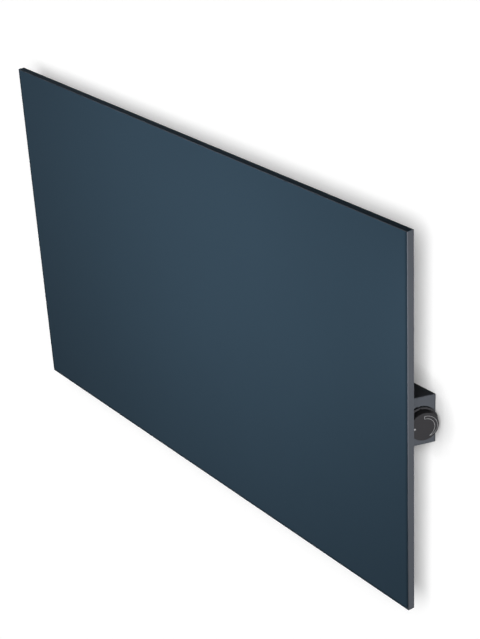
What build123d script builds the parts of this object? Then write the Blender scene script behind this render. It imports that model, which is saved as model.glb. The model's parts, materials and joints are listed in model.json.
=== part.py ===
"""Infrared panel heater: a thin steel panel with a heating laminate inside, a folded
rear housing with a thermostat knob on its slanted right end, and a wall rail that it hangs on.

Frame: millimetres, +X to the right seen from the room, +Y into the wall, +Z up.
The origin is the centre of the wall rail's screw pattern, on the wall plane.
"""

import os
from math import cos, radians, sin, tan

from build123d import *

os.makedirs("parts", exist_ok=True)

# ---------------------------------------------------------------- driving dimensions
panel_width = 1000.0
panel_height = 600.0
panel_thickness = 11.5
wall_distance = 60.0  # wall plane to the panel's front face
panel_sheet = 1.0
rim_lip = 7.0  # lips folded over the back plate
fold_radius = 1.2

back_plate_thickness = 0.8
film_thickness = 0.4
track_thickness = 0.3
foil_thickness = 0.2
laminate_margin = 14.0  # panel edge to film, foil and board

housing_top = 36.3
housing_bottom = -40.7
housing_half_width = 492.8  # at the wall plane
end_flare = 18.0  # degrees by which each end opens towards the wall
housing_sheet = 1.2
housing_fold = 1.6
housing_lip = 10.0

rail_half_length = 220.0
rail_sheet = 2.0
rail_bottom = -20.7
screw_spacing_x = 400.0
screw_spacing_z = 25.0
wall_screw_radius = 2.75

knob_from_rear_edge = 24.2  # along the slanted end face
knob_height_z = -3.1
knob_radius = 21.7
knob_face = 14.6  # above the end face
knob_base = 3.0
bezel_radius = 25.4  # at its front; the collar widens from its seat
bezel_seat_radius = 23.2
bezel_height = 4.1
bezel_wall = 3.3
bezel_base = 2.0
shaft_radius = 3.0
running_gap = 0.05

track_width = 8.0
track_pitch = 22.0
track_rows = 13  # in each half
track_half_length = 440.0
track_return_x = 476.0

pass_x = 292.0  # where the element leads go through the back plate
pass_z = 2.0
pass_width = 10.0
pass_height = 14.0
divider_x = 262.0
cover_recess = 3.2  # wall plane to the control cover

terminal_x = 336.0
terminal_z = 2.0
cutout_x = 400.0
cutout_z = 10.0
earth_x = 376.0
earth_z = -24.0
gland_x = 336.0
gland_from_wall = 24.0
cable_radius = 4.0

wire_diameter = 2.2
capillary_diameter = 1.4

# sides of the plain sections that stand for small round ones
wire_sides = 8
screw_sides = 12
thread_sides = 16
disc_sides = 24

# ---------------------------------------------------------------- derived places
panel_back = wall_distance - panel_thickness
plate_rear = panel_back + panel_sheet
plate_front = plate_rear + back_plate_thickness
sheet_inner = wall_distance - panel_sheet
track_front = sheet_inner - film_thickness
cover_film_front = track_front - track_thickness
foil_front = cover_film_front - film_thickness
insulation_front = foil_front - foil_thickness
laminate_width = panel_width - 2 * laminate_margin
laminate_height = panel_height - 2 * laminate_margin
housing_height = housing_top - housing_bottom
housing_middle = (housing_top + housing_bottom) / 2
web_inner = plate_rear - housing_sheet
lip_bottom = housing_top - housing_lip
flare_run = tan(radians(end_flare))
half_at_plate = housing_half_width - plate_rear * flare_run
window_half_width = housing_half_width - housing_lip
window_height = housing_height - 2 * housing_lip

end_out = Vector(cos(radians(end_flare)), -sin(radians(end_flare)), 0)
end_along = Vector(sin(radians(end_flare)), cos(radians(end_flare)), 0)
knob_centre = (
    Vector(housing_half_width, 0, knob_height_z) - end_along * knob_from_rear_edge
)


def from_wall(distance):
    """Plane parallel to the wall; its sketch x and y are X and Z, and it faces the room."""
    return Plane.XZ.offset(distance)


def on_end(height):
    """Plane parallel to the slanted end face; x towards the wall, y up, facing outwards."""
    return Plane(
        origin=knob_centre + end_out * height, x_dir=end_along, z_dir=end_out
    )


def end_point(along, up, height):
    """Place on the slanted end: towards the wall, up, and outwards from the end face."""
    return knob_centre + end_along * along + Vector(0, 0, up) + end_out * height


def at_height(z):
    """Horizontal plane at height z, facing up."""
    return Plane.XY.offset(z)


def hex_screws(face, places, head_radius, head_height, shank_radius, shank_length):
    """Hexagon-headed screws seated on a face; heights are signed along its normal."""
    with BuildPart() as screws:
        with BuildSketch(face):
            with Locations(*places):
                RegularPolygon(head_radius, 6)
        extrude(amount=head_height)
        with BuildSketch(face):
            with Locations(*places):
                RegularPolygon(shank_radius, screw_sides)
        extrude(amount=shank_length)
    return screws.part


def wire(points, radii, diameter):
    """Wire along straight runs; each bend follows an arc of its radius in two chords."""
    stations = [points[0]]
    for before, corner, after, radius in zip(points, points[1:], points[2:], radii):
        back = (before - corner).normalized()
        ahead = (after - corner).normalized()
        half_angle = radians(back.get_angle(ahead)) / 2
        reach = radius / tan(half_angle)
        rise = radius / sin(half_angle) - radius
        stations.append(corner + back * reach)
        stations.append(corner + (back + ahead).normalized() * rise)
        stations.append(corner + ahead * reach)
    stations.append(points[-1])
    with BuildPart() as run:
        with BuildLine() as route:
            Polyline(*stations)
        with BuildSketch(Plane(origin=route.line @ 0, z_dir=route.line % 0)):
            RegularPolygon(diameter / 2, wire_sides)
        sweep(transition=Transition.RIGHT)
    return run.part


# ---------------------------------------------------------------- panel
# Front sheet: a tray whose rim wraps the laminate and is folded over the back plate.
mitre_slit = 0.5
mitre_length = rim_lip * 1.3
mitre_inset = rim_lip / 2 + mitre_slit
with BuildPart() as front_panel:
    with BuildSketch(from_wall(panel_back)):
        Rectangle(panel_width, panel_height)
    extrude(amount=panel_thickness)
    fillet(front_panel.faces().sort_by(Axis.Y)[0].edges(), radius=fold_radius)
    with BuildSketch(from_wall(plate_rear)):
        Rectangle(panel_width - 2 * panel_sheet, panel_height - 2 * panel_sheet)
    extrude(amount=sheet_inner - plate_rear, mode=Mode.SUBTRACT)
    with BuildSketch(from_wall(panel_back)):
        Rectangle(panel_width - 2 * rim_lip, panel_height - 2 * rim_lip)
        # mitre slits where the folded lips meet
        for side in (-1, 1):
            for level in (-1, 1):
                slit_x = side * (panel_width / 2 - mitre_inset)
                slit_z = level * (panel_height / 2 - mitre_inset)
                with Locations((slit_x, slit_z)):
                    Rectangle(mitre_length, mitre_slit, rotation=45 * side * level)
    extrude(amount=panel_sheet, mode=Mode.SUBTRACT)
front_panel.part.label = "front_panel"
export_step(front_panel.part, "parts/front_panel.step")

# Film that bonds the heating track to the front sheet.
with BuildPart() as carrier_film:
    with BuildSketch(from_wall(track_front)):
        Rectangle(laminate_width, laminate_height)
    extrude(amount=film_thickness)
carrier_film.part.label = "carrier_film"
export_step(carrier_film.part, "parts/carrier_film.step")

# Meandering resistive track: the upper half starts at one terminal pad, climbs row by
# row, and comes back down the margin to the mirrored lower half.
pad_x = pass_x + 14.0
pad_width = 12.0
pad_thickness = 0.4
first_row = track_pitch / 2
last_row = first_row + (track_rows - 1) * track_pitch
with BuildPart() as heating_track:
    with BuildSketch(from_wall(cover_film_front)):
        for row in range(track_rows):
            row_left = pad_x - pad_width / 2 if row == 0 else -track_half_length
            row_right = track_return_x if row == track_rows - 1 else track_half_length
            with Locations(((row_left + row_right) / 2, first_row + row * track_pitch)):
                Rectangle(row_right - row_left, track_width)
        for turn in range(track_rows - 1):
            side = 1 if turn % 2 == 0 else -1
            turn_x = side * (track_half_length - track_width / 2)
            with Locations((turn_x, first_row + (turn + 0.5) * track_pitch)):
                Rectangle(track_width, track_pitch)
        with Locations((track_return_x - track_width / 2, last_row / 2)):
            Rectangle(track_width, last_row)
        mirror(about=Plane.XZ)
    extrude(amount=track_thickness)
heating_track.part.label = "heating_track"
export_step(heating_track.part, "parts/heating_track.step")

# Copper pads at the two track ends.
with BuildPart() as track_pads:
    with BuildSketch(from_wall(cover_film_front - pad_thickness)):
        with Locations((pad_x, first_row), (pad_x, -first_row)):
            Rectangle(pad_width, track_width)
    extrude(amount=pad_thickness)
track_pads.part.label = "track_pads"
export_step(track_pads.part, "parts/track_pads.step")

# Film over the track and foil behind it, both open where the leads are joined on.
lead_window_width = 50.0
lead_window_height = 44.0
with BuildPart() as cover_film:
    with BuildSketch(from_wall(foil_front)):
        Rectangle(laminate_width, laminate_height)
        with Locations((pad_x, 0)):
            Rectangle(lead_window_width, lead_window_height, mode=Mode.SUBTRACT)
    extrude(amount=film_thickness)
cover_film.part.label = "cover_film"
export_step(cover_film.part, "parts/cover_film.step")

with BuildPart() as reflector_foil:
    with BuildSketch(from_wall(insulation_front)):
        Rectangle(laminate_width, laminate_height)
        with Locations((pad_x, 0)):
            Rectangle(lead_window_width, lead_window_height, mode=Mode.SUBTRACT)
    extrude(amount=foil_thickness)
reflector_foil.part.label = "reflector_foil"
export_step(reflector_foil.part, "parts/reflector_foil.step")

# Mineral-fibre board behind the laminate, relieved for the leads and the screw tips.
housing_screw_rise = 22.0
housing_screw_radius = 2.0
housing_screw_places = [
    (-428.0, housing_middle + housing_screw_rise),
    (-143.0, housing_middle - housing_screw_rise),
    (143.0, housing_middle + housing_screw_rise),
    (428.0, housing_middle - housing_screw_rise),
]
screw_tip_relief = 4 * housing_screw_radius
with BuildPart() as insulation_board:
    with BuildSketch(from_wall(plate_front)):
        Rectangle(laminate_width, laminate_height)
        with Locations((pad_x, 0)):
            Rectangle(lead_window_width, lead_window_height, mode=Mode.SUBTRACT)
        with Locations(*housing_screw_places):
            Rectangle(screw_tip_relief, screw_tip_relief, mode=Mode.SUBTRACT)
    extrude(amount=insulation_front - plate_front)
insulation_board.part.label = "insulation_board"
export_step(insulation_board.part, "parts/insulation_board.step")

# Back plate, held by the folded lips, with a long stiffening bead above and below.
plate_clearance = 1.0
bead_rise = 1.6
bead_length = 880.0
bead_width = 22.0
bead_slope = 40.0  # degrees of its sides from square
bead_places = [(0, 170.0), (0, -170.0)]
with BuildPart() as back_plate:
    with BuildSketch(from_wall(plate_rear)):
        Rectangle(
            panel_width - 2 * panel_sheet - 2 * plate_clearance,
            panel_height - 2 * panel_sheet - 2 * plate_clearance,
        )
    extrude(amount=back_plate_thickness)
    with BuildSketch(from_wall(plate_rear)):
        with Locations(*bead_places):
            SlotOverall(bead_length, bead_width)
    extrude(amount=-bead_rise, taper=bead_slope)
    with BuildSketch(from_wall(plate_front)):
        with Locations(*bead_places):
            SlotOverall(
                bead_length - 2 * back_plate_thickness,
                bead_width - 2 * back_plate_thickness,
            )
    extrude(amount=-bead_rise, taper=bead_slope, mode=Mode.SUBTRACT)
    with BuildSketch(from_wall(plate_rear)):
        with Locations((pass_x, pass_z)):
            Rectangle(pass_width, pass_height)
        with Locations(*housing_screw_places):
            RegularPolygon(housing_screw_radius + running_gap, screw_sides)
    extrude(amount=back_plate_thickness, mode=Mode.SUBTRACT)
back_plate.part.label = "back_plate"
export_step(back_plate.part, "parts/back_plate.step")

# ---------------------------------------------------------------- rear housing
end_screw_rise = 14.0  # thermostat screws above and below its shaft
end_screw_radius = 2.0
end_screw_clearance = 0.15
end_screw_places = [(0, end_screw_rise), (0, -end_screw_rise)]
bushing_radius = 5.0
bushing_clearance = 0.2
peg_ring_radius = 20.3
peg_depth = 2.4  # along the bezel's radius
peg_width = 4.0
peg_angles = (45, 225)
cutout_window = 24.0
strap_length = 36.0
strap_width = 12.0
strap_sheet = 0.8
hook_gap = 0.1
hook_end_gap = 0.3
hook_sheet = 1.0
hook_reach = 3.0
hook_width = 8.0
gland_thread_radius = 8.0
gland_clearance = 0.1
vent_length = 26.0
vent_width = 3.0
vent_pitch = 8.0
vent_count = 8
vent_x = 395.0
vent_from_wall = 24.0


# Folded frame: roof, floor and both slanted ends, with lips turned in at the wall.
end_inset = housing_sheet / cos(radians(end_flare))
with BuildPart() as rear_housing:
    with BuildSketch(at_height(housing_bottom)):
        with BuildLine():
            Polyline(
                (-housing_half_width, 0),
                (housing_half_width, 0),
                (half_at_plate, -plate_rear),
                (-half_at_plate, -plate_rear),
                close=True,
            )
        make_face()
    extrude(amount=housing_height)
    folds = rear_housing.edges().filter_by_position(Axis.Y, housing_fold - plate_rear, 0)
    fillet(folds, radius=housing_fold)
    # hollow between the sheets, open towards the panel
    with BuildSketch(at_height(housing_bottom + housing_sheet)):
        with BuildLine():
            lip_inset = end_inset + housing_sheet * flare_run
            Polyline(
                (lip_inset - housing_half_width, -housing_sheet),
                (housing_half_width - lip_inset, -housing_sheet),
                (half_at_plate - end_inset, -plate_rear),
                (end_inset - half_at_plate, -plate_rear),
                close=True,
            )
        make_face()
    extrude(amount=housing_height - 2 * housing_sheet, mode=Mode.SUBTRACT)
    # open back inside the folded lips
    with BuildSketch(from_wall(0)):
        with Locations((0, housing_middle)):
            Rectangle(2 * window_half_width, window_height)
    extrude(amount=housing_sheet, mode=Mode.SUBTRACT)
    # right end wall: thermostat bushing, its two screws and the bezel's pegs
    with BuildSketch(on_end(0)):
        RegularPolygon(bushing_radius + bushing_clearance, thread_sides)
        with Locations(*end_screw_places):
            RegularPolygon(end_screw_radius + end_screw_clearance, screw_sides)
        for angle in peg_angles:
            with PolarLocations(peg_ring_radius, 1, start_angle=angle):
                Rectangle(peg_depth + 2 * running_gap, peg_width + 2 * running_gap)
    extrude(amount=-housing_sheet * 1.5, mode=Mode.SUBTRACT)
    # vents in the floor and the roof beside the room sensor, and the gland's hole
    for level in (housing_bottom, housing_top - housing_sheet):
        with BuildSketch(at_height(level)):
            with Locations((vent_x, -vent_from_wall)):
                with GridLocations(vent_pitch, 0, vent_count, 1):
                    Rectangle(vent_width, vent_length)
        extrude(amount=housing_sheet, mode=Mode.SUBTRACT)
    with BuildSketch(at_height(housing_bottom)):
        with Locations((gland_x, -gland_from_wall)):
            RegularPolygon(gland_thread_radius + gland_clearance, thread_sides)
    extrude(amount=housing_sheet, mode=Mode.SUBTRACT)
rear_housing.part.label = "rear_housing"
export_step(rear_housing.part, "parts/rear_housing.step")

# Plate welded inside the frame's front edge; it lies on the panel and carries the parts.
with BuildPart() as housing_plate:
    with BuildSketch(from_wall(web_inner)):
        with Locations((0, housing_middle)):
            Rectangle(2 * (half_at_plate - end_inset), housing_height - 2 * housing_sheet)
        with Locations((pass_x, pass_z)):
            Rectangle(pass_width, pass_height, mode=Mode.SUBTRACT)
        with Locations((cutout_x, cutout_z)):
            Rectangle(cutout_window, cutout_window, mode=Mode.SUBTRACT)
        with Locations(*housing_screw_places):
            RegularPolygon(
                housing_screw_radius + running_gap, screw_sides, mode=Mode.SUBTRACT
            )
    extrude(amount=housing_sheet)
    # lanced hooks over both ends of the cut-out's strap
    hook_inner = strap_length / 2 + hook_end_gap
    hook_under = web_inner - strap_sheet - hook_gap
    for side in (-1, 1):
        with BuildSketch(at_height(cutout_z - hook_width / 2)):
            with BuildLine():
                Polyline(
                    (cutout_x + side * hook_inner, -web_inner),
                    (cutout_x + side * (hook_inner + hook_sheet), -web_inner),
                    (cutout_x + side * (hook_inner + hook_sheet), hook_sheet - hook_under),
                    (cutout_x + side * (hook_inner - hook_reach), hook_sheet - hook_under),
                    (cutout_x + side * (hook_inner - hook_reach), -hook_under),
                    (cutout_x + side * hook_inner, -hook_under),
                    close=True,
                )
            make_face()
        extrude(amount=hook_width)
housing_plate.part.label = "housing_plate"
export_step(housing_plate.part, "parts/housing_plate.step")

# Screws that hold the housing's plate to the back plate, with their heads inside.
housing_screw_head = 4.0
housing_screw_head_height = 2.4
housing_screw_length = 6.0
housing_screws = hex_screws(
    from_wall(web_inner),
    housing_screw_places,
    housing_screw_head,
    -housing_screw_head_height,
    housing_screw_radius,
    housing_screw_length,
)
housing_screws.label = "housing_screws"
export_step(housing_screws, "parts/housing_screws.step")

# Folded wall between the wiring compartment and the open recess for the wall rail.
divider_foot = 14.0
divider_fold = 1.1
cover_sheet = 1.2
divider_rear = cover_recess + cover_sheet
with BuildPart() as compartment_divider:
    with BuildSketch(at_height(housing_bottom + housing_sheet)) as divider_section:
        with BuildLine():
            Polyline(
                (divider_x, -divider_rear),
                (divider_x, -web_inner),
                (divider_x + divider_foot, -web_inner),
                (divider_x + divider_foot, -web_inner + housing_sheet),
                (divider_x + housing_sheet, -web_inner + housing_sheet),
                (divider_x + housing_sheet, -divider_rear),
                close=True,
            )
        make_face()
        fold_corner = divider_section.vertices().group_by(Axis.Y)[0].sort_by(Axis.X)[0]
        fillet(fold_corner, radius=divider_fold)
    extrude(amount=housing_height - 2 * housing_sheet)
compartment_divider.part.label = "compartment_divider"
export_step(compartment_divider.part, "parts/compartment_divider.step")

# Cover over the wiring, tucked behind the housing's lips and screwed to two pillars.
pillar_places = [(284.0, housing_middle + 24.0), (452.0, housing_middle - 24.0)]
pillar_radius = 3.2
cover_screw_radius = 1.45
cover_screw_head = 3.0
cover_screw_head_height = 1.8
cover_screw_length = 9.0
cover_screw_clearance = 0.25
cover_tuck = 3.0  # how far the cover reaches behind each lip
cover_left = divider_x - cover_tuck
cover_right = window_half_width + cover_tuck
with BuildPart() as control_cover:
    with BuildSketch(from_wall(cover_recess)):
        with Locations(((cover_left + cover_right) / 2, housing_middle)):
            Rectangle(cover_right - cover_left, window_height + 2 * cover_tuck)
        with Locations(*pillar_places):
            RegularPolygon(
                cover_screw_radius + cover_screw_clearance, screw_sides, mode=Mode.SUBTRACT
            )
    extrude(amount=cover_sheet)
control_cover.part.label = "control_cover"
export_step(control_cover.part, "parts/control_cover.step")

with BuildPart() as cover_pillars:
    with BuildSketch(from_wall(cover_recess + cover_sheet)):
        with Locations(*pillar_places):
            RegularPolygon(pillar_radius, 6)
            RegularPolygon(
                cover_screw_radius + running_gap, screw_sides, mode=Mode.SUBTRACT
            )
    extrude(amount=web_inner - cover_recess - cover_sheet)
cover_pillars.part.label = "cover_pillars"
export_step(cover_pillars.part, "parts/cover_pillars.step")

cover_screws = hex_screws(
    from_wall(cover_recess),
    pillar_places,
    cover_screw_head,
    -cover_screw_head_height,
    cover_screw_radius,
    cover_screw_length,
)
cover_screws.label = "cover_screws"
export_step(cover_screws, "parts/cover_screws.step")

# ---------------------------------------------------------------- thermostat
thermostat_width = 22.0
thermostat_height = 38.0
thermostat_shift = -1.0
thermostat_depth = 18.0
thermostat_side = 2.0  # plate rim beyond the switch body
mount_plate = 1.6
bushing_rise = 1.6  # above the end face
plate_top = -housing_sheet
body_top = plate_top - mount_plate
body_bottom = body_top - thermostat_depth

# Steel mounting plate with the bushing that passes through the end wall.
with BuildPart() as thermostat_plate:
    with BuildSketch(on_end(body_top)):
        with Locations((thermostat_shift, 0)):
            Rectangle(thermostat_width, thermostat_height)
    extrude(amount=mount_plate)
    with BuildSketch(on_end(plate_top)):
        RegularPolygon(bushing_radius, thread_sides)
    extrude(amount=bushing_rise - plate_top)
    with BuildSketch(on_end(body_top)):
        Circle(shaft_radius + running_gap)
    extrude(amount=bushing_rise - body_top, mode=Mode.SUBTRACT)
    with BuildSketch(on_end(body_top)):
        with Locations(*end_screw_places):
            RegularPolygon(end_screw_radius + running_gap, screw_sides)
    extrude(amount=mount_plate, mode=Mode.SUBTRACT)
thermostat_plate.part.label = "thermostat_plate"
export_step(thermostat_plate.part, "parts/thermostat_plate.step")

# Moulded switch body with a stepped base and a pocket for the shaft.
base_step_height = 8.0
base_step_depth = 5.0
shaft_depth = 10.6  # below the plate
shaft_end_gap = 0.4
with BuildPart() as thermostat_body:
    with BuildSketch(on_end(body_bottom)):
        with Locations((thermostat_shift, 0)):
            Rectangle(thermostat_width, thermostat_height - 2 * thermostat_side)
    extrude(amount=thermostat_depth)
    with BuildSketch(on_end(body_bottom)):
        with Locations(
            (thermostat_shift, end_screw_rise), (thermostat_shift, -end_screw_rise)
        ):
            Rectangle(thermostat_width, base_step_height)
    extrude(amount=base_step_depth, mode=Mode.SUBTRACT)
    with BuildSketch(on_end(body_top)):
        Circle(shaft_radius + running_gap)
    extrude(amount=-shaft_depth - shaft_end_gap, mode=Mode.SUBTRACT)
thermostat_body.part.label = "thermostat_body"
export_step(thermostat_body.part, "parts/thermostat_body.step")

end_screw_head = 3.7
end_screw_head_height = 2.2
thermostat_screws = hex_screws(
    on_end(0),
    end_screw_places,
    end_screw_head,
    end_screw_head_height,
    end_screw_radius,
    -housing_sheet - mount_plate,
)
thermostat_screws.label = "thermostat_screws"
export_step(thermostat_screws, "parts/thermostat_screws.step")

# Two blade tabs on the switch body's inner face.
tab_width = 4.8
tab_sheet = 0.8
tab_length = 6.5
tab_along = thermostat_shift + 5.0
tab_rise = 5.0
with BuildPart() as thermostat_tabs:
    with BuildSketch(on_end(body_bottom)):
        with Locations((tab_along, tab_rise), (tab_along, -tab_rise)):
            Rectangle(tab_width, tab_sheet)
    extrude(amount=-tab_length)
thermostat_tabs.part.label = "thermostat_tabs"
export_step(thermostat_tabs.part, "parts/thermostat_tabs.step")

# Shaft with a flat for the knob, free to turn in the bushing.
shaft_bottom = body_top - shaft_depth
shaft_top = 10.6
flat_bottom = 4.4
flat_offset = 1.6  # shaft axis to the flat
with BuildPart() as thermostat_shaft:
    with BuildSketch(on_end(shaft_bottom)):
        Circle(shaft_radius)
    extrude(amount=shaft_top - shaft_bottom)
    with BuildSketch(on_end(flat_bottom)):
        with Locations((-flat_offset - shaft_radius / 2, 0)):
            Rectangle(shaft_radius, 2 * shaft_radius)
    extrude(amount=shaft_top - flat_bottom, mode=Mode.SUBTRACT)
thermostat_shaft.part.label = "thermostat_shaft"
export_step(thermostat_shaft.part, "parts/thermostat_shaft.step")

# Room sensor bulb with its crimped neck, above the floor vents.
bulb_radius = 3.0
bulb_length = 62.0
bulb_right = 426.0
bulb_from_wall = 16.0
bulb_lift = 1.4  # above the floor
neck_radius = 1.6
neck_length = 4.0
bulb_z = housing_bottom + housing_sheet + bulb_radius + bulb_lift
bulb_right_end = Plane(
    origin=(bulb_right, -bulb_from_wall, bulb_z), x_dir=(0, 1, 0), z_dir=(-1, 0, 0)
)
with BuildPart() as sensor_bulb:
    with BuildSketch(bulb_right_end):
        RegularPolygon(bulb_radius, thread_sides)
    extrude(amount=bulb_length)
    with BuildSketch(bulb_right_end):
        RegularPolygon(neck_radius, screw_sides)
    extrude(amount=-neck_length)
sensor_bulb.part.label = "sensor_bulb"
export_step(sensor_bulb.part, "parts/sensor_bulb.step")

# Spring clip: a ring open at the top, on a foot that stands on the floor.
clip_width = 8.0
clip_sheet = 0.8
clip_mouth = 3.6
clip_foot = 14.0
clip_post = 2.4
clip_middle = bulb_right_end.offset(bulb_length / 2 - clip_width / 2)
with BuildPart() as bulb_clip:
    with BuildSketch(clip_middle):
        RegularPolygon(bulb_radius + clip_sheet, thread_sides)
        RegularPolygon(bulb_radius + running_gap, thread_sides, mode=Mode.SUBTRACT)
        with Locations((0, bulb_radius + clip_sheet)):
            Rectangle(clip_mouth, clip_mouth, mode=Mode.SUBTRACT)
        with Locations((0, -bulb_radius - bulb_lift + clip_sheet / 2)):
            Rectangle(clip_foot, clip_sheet)
        with Locations((0, -bulb_radius - bulb_lift / 2)):
            Rectangle(clip_post, bulb_lift - clip_sheet / 2)
    extrude(amount=clip_width)
bulb_clip.part.label = "bulb_clip"
export_step(bulb_clip.part, "parts/bulb_clip.step")

capillary_start = end_point(thermostat_shift - 6, -9, body_bottom)
capillary_tube = wire(
    [
        capillary_start,
        capillary_start - end_out * 9,
        Vector(444, -bulb_from_wall, bulb_z),
        Vector(bulb_right + neck_length, -bulb_from_wall, bulb_z),
    ],
    [5, 5],
    capillary_diameter,
)
capillary_tube.label = "capillary_tube"
export_step(capillary_tube, "parts/capillary_tube.step")

# ---------------------------------------------------------------- bezel and knob
# Raised collar round the knob, with an index notch near its top and pegs into the end wall.
index_notch_width = 2.8
index_notch_depth = 1.6
index_notch_angle = 96.0
bezel_edge = 0.5
bezel_inner = bezel_radius - bezel_wall
bezel_base_opening = 18.3
with BuildPart() as control_bezel:
    with BuildSketch(on_end(0)):
        Circle(bezel_seat_radius)
    with BuildSketch(on_end(bezel_height)):
        Circle(bezel_radius)
    loft()
    chamfer(control_bezel.faces().sort_by(Axis.X)[-1].edges(), length=bezel_edge)
    with BuildSketch(on_end(bezel_base)):
        Circle(bezel_inner)
    extrude(amount=bezel_height, mode=Mode.SUBTRACT)
    with BuildSketch(on_end(0)):
        Circle(bezel_base_opening)
    extrude(amount=bezel_base, mode=Mode.SUBTRACT)
    with BuildSketch(on_end(bezel_height - index_notch_depth)):
        notch_ring = bezel_radius - bezel_wall / 2
        with PolarLocations(notch_ring, 1, start_angle=index_notch_angle):
            Rectangle(2 * bezel_wall, index_notch_width)
    extrude(amount=index_notch_depth, mode=Mode.SUBTRACT)
    with BuildSketch(on_end(0)):
        for angle in peg_angles:
            with PolarLocations(peg_ring_radius, 1, start_angle=angle):
                Rectangle(peg_depth, peg_width)
    extrude(amount=-housing_sheet)
control_bezel.part.label = "control_bezel"
export_step(control_bezel.part, "parts/control_bezel.step")

# Knob: a hollow moulded cap with ribs and a hub that fits the shaft.
knob_wall = 2.0
knob_roof = 2.4
knob_edge = 0.5
knob_hub_radius = 6.0
hub_base = 3.4
hub_fit = 0.02
hub_end_gap = 0.4
rib_count = 6
rib_width = 1.4
rib_depth = 7.0
rib_overlap = 1.0  # into the skirt and the hub
spring_slot = 0.7
spring_width = 8.2
spring_play = 0.1
slot_centre = -flat_offset - running_gap - spring_slot / 2
roof_inner = knob_face - knob_roof
skirt_inner = knob_radius - knob_wall
with BuildPart() as knob:
    with BuildSketch(on_end(knob_base)):
        Circle(knob_radius)
    extrude(amount=knob_face - knob_base)
    chamfer(knob.faces().sort_by(Axis.X)[-1].edges(), length=knob_edge)
    with BuildSketch(on_end(knob_base)):
        Circle(skirt_inner)
    extrude(amount=roof_inner - knob_base, mode=Mode.SUBTRACT)
    with BuildSketch(on_end(roof_inner)):
        Circle(knob_hub_radius)
    extrude(amount=hub_base - roof_inner)
    with BuildSketch(on_end(roof_inner)):
        with PolarLocations((skirt_inner + knob_hub_radius) / 2, rib_count):
            Rectangle(skirt_inner - knob_hub_radius + rib_overlap, rib_width)
    extrude(amount=-rib_depth)
    with BuildSketch(on_end(hub_base)):
        Circle(shaft_radius + hub_fit)
        with Locations((slot_centre, 0)):
            Rectangle(spring_slot, spring_width)
    extrude(amount=shaft_top - hub_base + hub_end_gap, mode=Mode.SUBTRACT)
knob.part.label = "knob"
export_step(knob.part, "parts/knob.step")

# Spring leaf in the hub that presses on the shaft's flat.
with BuildPart() as knob_spring:
    with BuildSketch(on_end(flat_bottom + spring_play)):
        with Locations((slot_centre, 0)):
            Rectangle(spring_slot - spring_play, spring_width - 2 * spring_play)
    extrude(amount=shaft_top - flat_bottom - 2 * spring_play)
knob_spring.part.label = "knob_spring"
export_step(knob_spring.part, "parts/knob_spring.step")

# ---------------------------------------------------------------- wiring compartment
# Push-in terminal block: three poles on one base, a release lever at each entry.
pole_pitch = 12.0
pole_gap = 1.0
block_depth = 18.0
block_height = 22.0
block_base_depth = 8.0
block_base_height = 14.0
entry_size = 4.4
lever_rise = 6.0
lever_width = 4.6
lever_height = 6.6
lever_depth = 4.6
lever_proud = 1.0
lever_play = 0.2
pole_xs = [terminal_x + pole * pole_pitch for pole in (-1, 0, 1)]
block_rear = web_inner - block_depth
entry_from_wall = web_inner - block_depth / 2
lever_places = [
    (x, terminal_z + side * lever_rise) for x in pole_xs for side in (-1, 1)
]
with BuildPart() as terminal_block:
    with BuildSketch(from_wall(block_rear)):
        with Locations(*[(x, terminal_z) for x in pole_xs]):
            Rectangle(pole_pitch - pole_gap, block_height)
    extrude(amount=block_depth)
    with BuildSketch(from_wall(web_inner - block_base_depth)):
        with Locations((terminal_x, terminal_z)):
            Rectangle(3 * pole_pitch - pole_gap, block_base_height)
    extrude(amount=block_base_depth)
    with BuildSketch(at_height(terminal_z - block_height / 2)):
        with Locations(*[(x, -entry_from_wall) for x in pole_xs]):
            Rectangle(entry_size, entry_size)
    extrude(amount=block_height, mode=Mode.SUBTRACT)
    with BuildSketch(from_wall(block_rear)):
        with Locations(*lever_places):
            Rectangle(lever_width + lever_play, lever_height + lever_play)
    extrude(amount=lever_depth + lever_play, mode=Mode.SUBTRACT)
terminal_block.part.label = "terminal_block"
export_step(terminal_block.part, "parts/terminal_block.step")

with BuildPart() as terminal_levers:
    with BuildSketch(from_wall(block_rear - lever_proud)):
        with Locations(*lever_places):
            Rectangle(lever_width, lever_height)
    extrude(amount=lever_depth + lever_proud)
terminal_levers.part.label = "terminal_levers"
export_step(terminal_levers.part, "parts/terminal_levers.step")

# Overheat cut-out: a disc thermostat whose cap touches the back plate through the web.
cap_radius = 8.0
cap_depth = 4.5
cutout_body_radius = 7.4
cutout_body_depth = 7.0
cutout_ridge = (3.0, 9.0)
cutout_ridge_rise = 3.0
cutout_tab_offset = 4.6
cutout_tab_length = 6.0
cutout_body_rear = plate_rear - cap_depth - cutout_body_depth
cutout_tab_rear = cutout_body_rear - cutout_tab_length
with BuildPart() as cutout_cap:
    with BuildSketch(from_wall(plate_rear - cap_depth)):
        with Locations((cutout_x, cutout_z)):
            RegularPolygon(cap_radius, disc_sides)
    extrude(amount=cap_depth)
    with BuildSketch(from_wall(web_inner - strap_sheet)):
        with Locations((cutout_x, cutout_z)):
            Rectangle(strap_length, strap_width)
    extrude(amount=strap_sheet)
cutout_cap.part.label = "cutout_cap"
export_step(cutout_cap.part, "parts/cutout_cap.step")

with BuildPart() as cutout_body:
    with BuildSketch(from_wall(cutout_body_rear)):
        with Locations((cutout_x, cutout_z)):
            RegularPolygon(cutout_body_radius, disc_sides)
    extrude(amount=cutout_body_depth)
    with BuildSketch(from_wall(cutout_body_rear)):
        with Locations((cutout_x, cutout_z)):
            Rectangle(*cutout_ridge)
    extrude(amount=-cutout_ridge_rise)
cutout_body.part.label = "cutout_body"
export_step(cutout_body.part, "parts/cutout_body.step")

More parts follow.
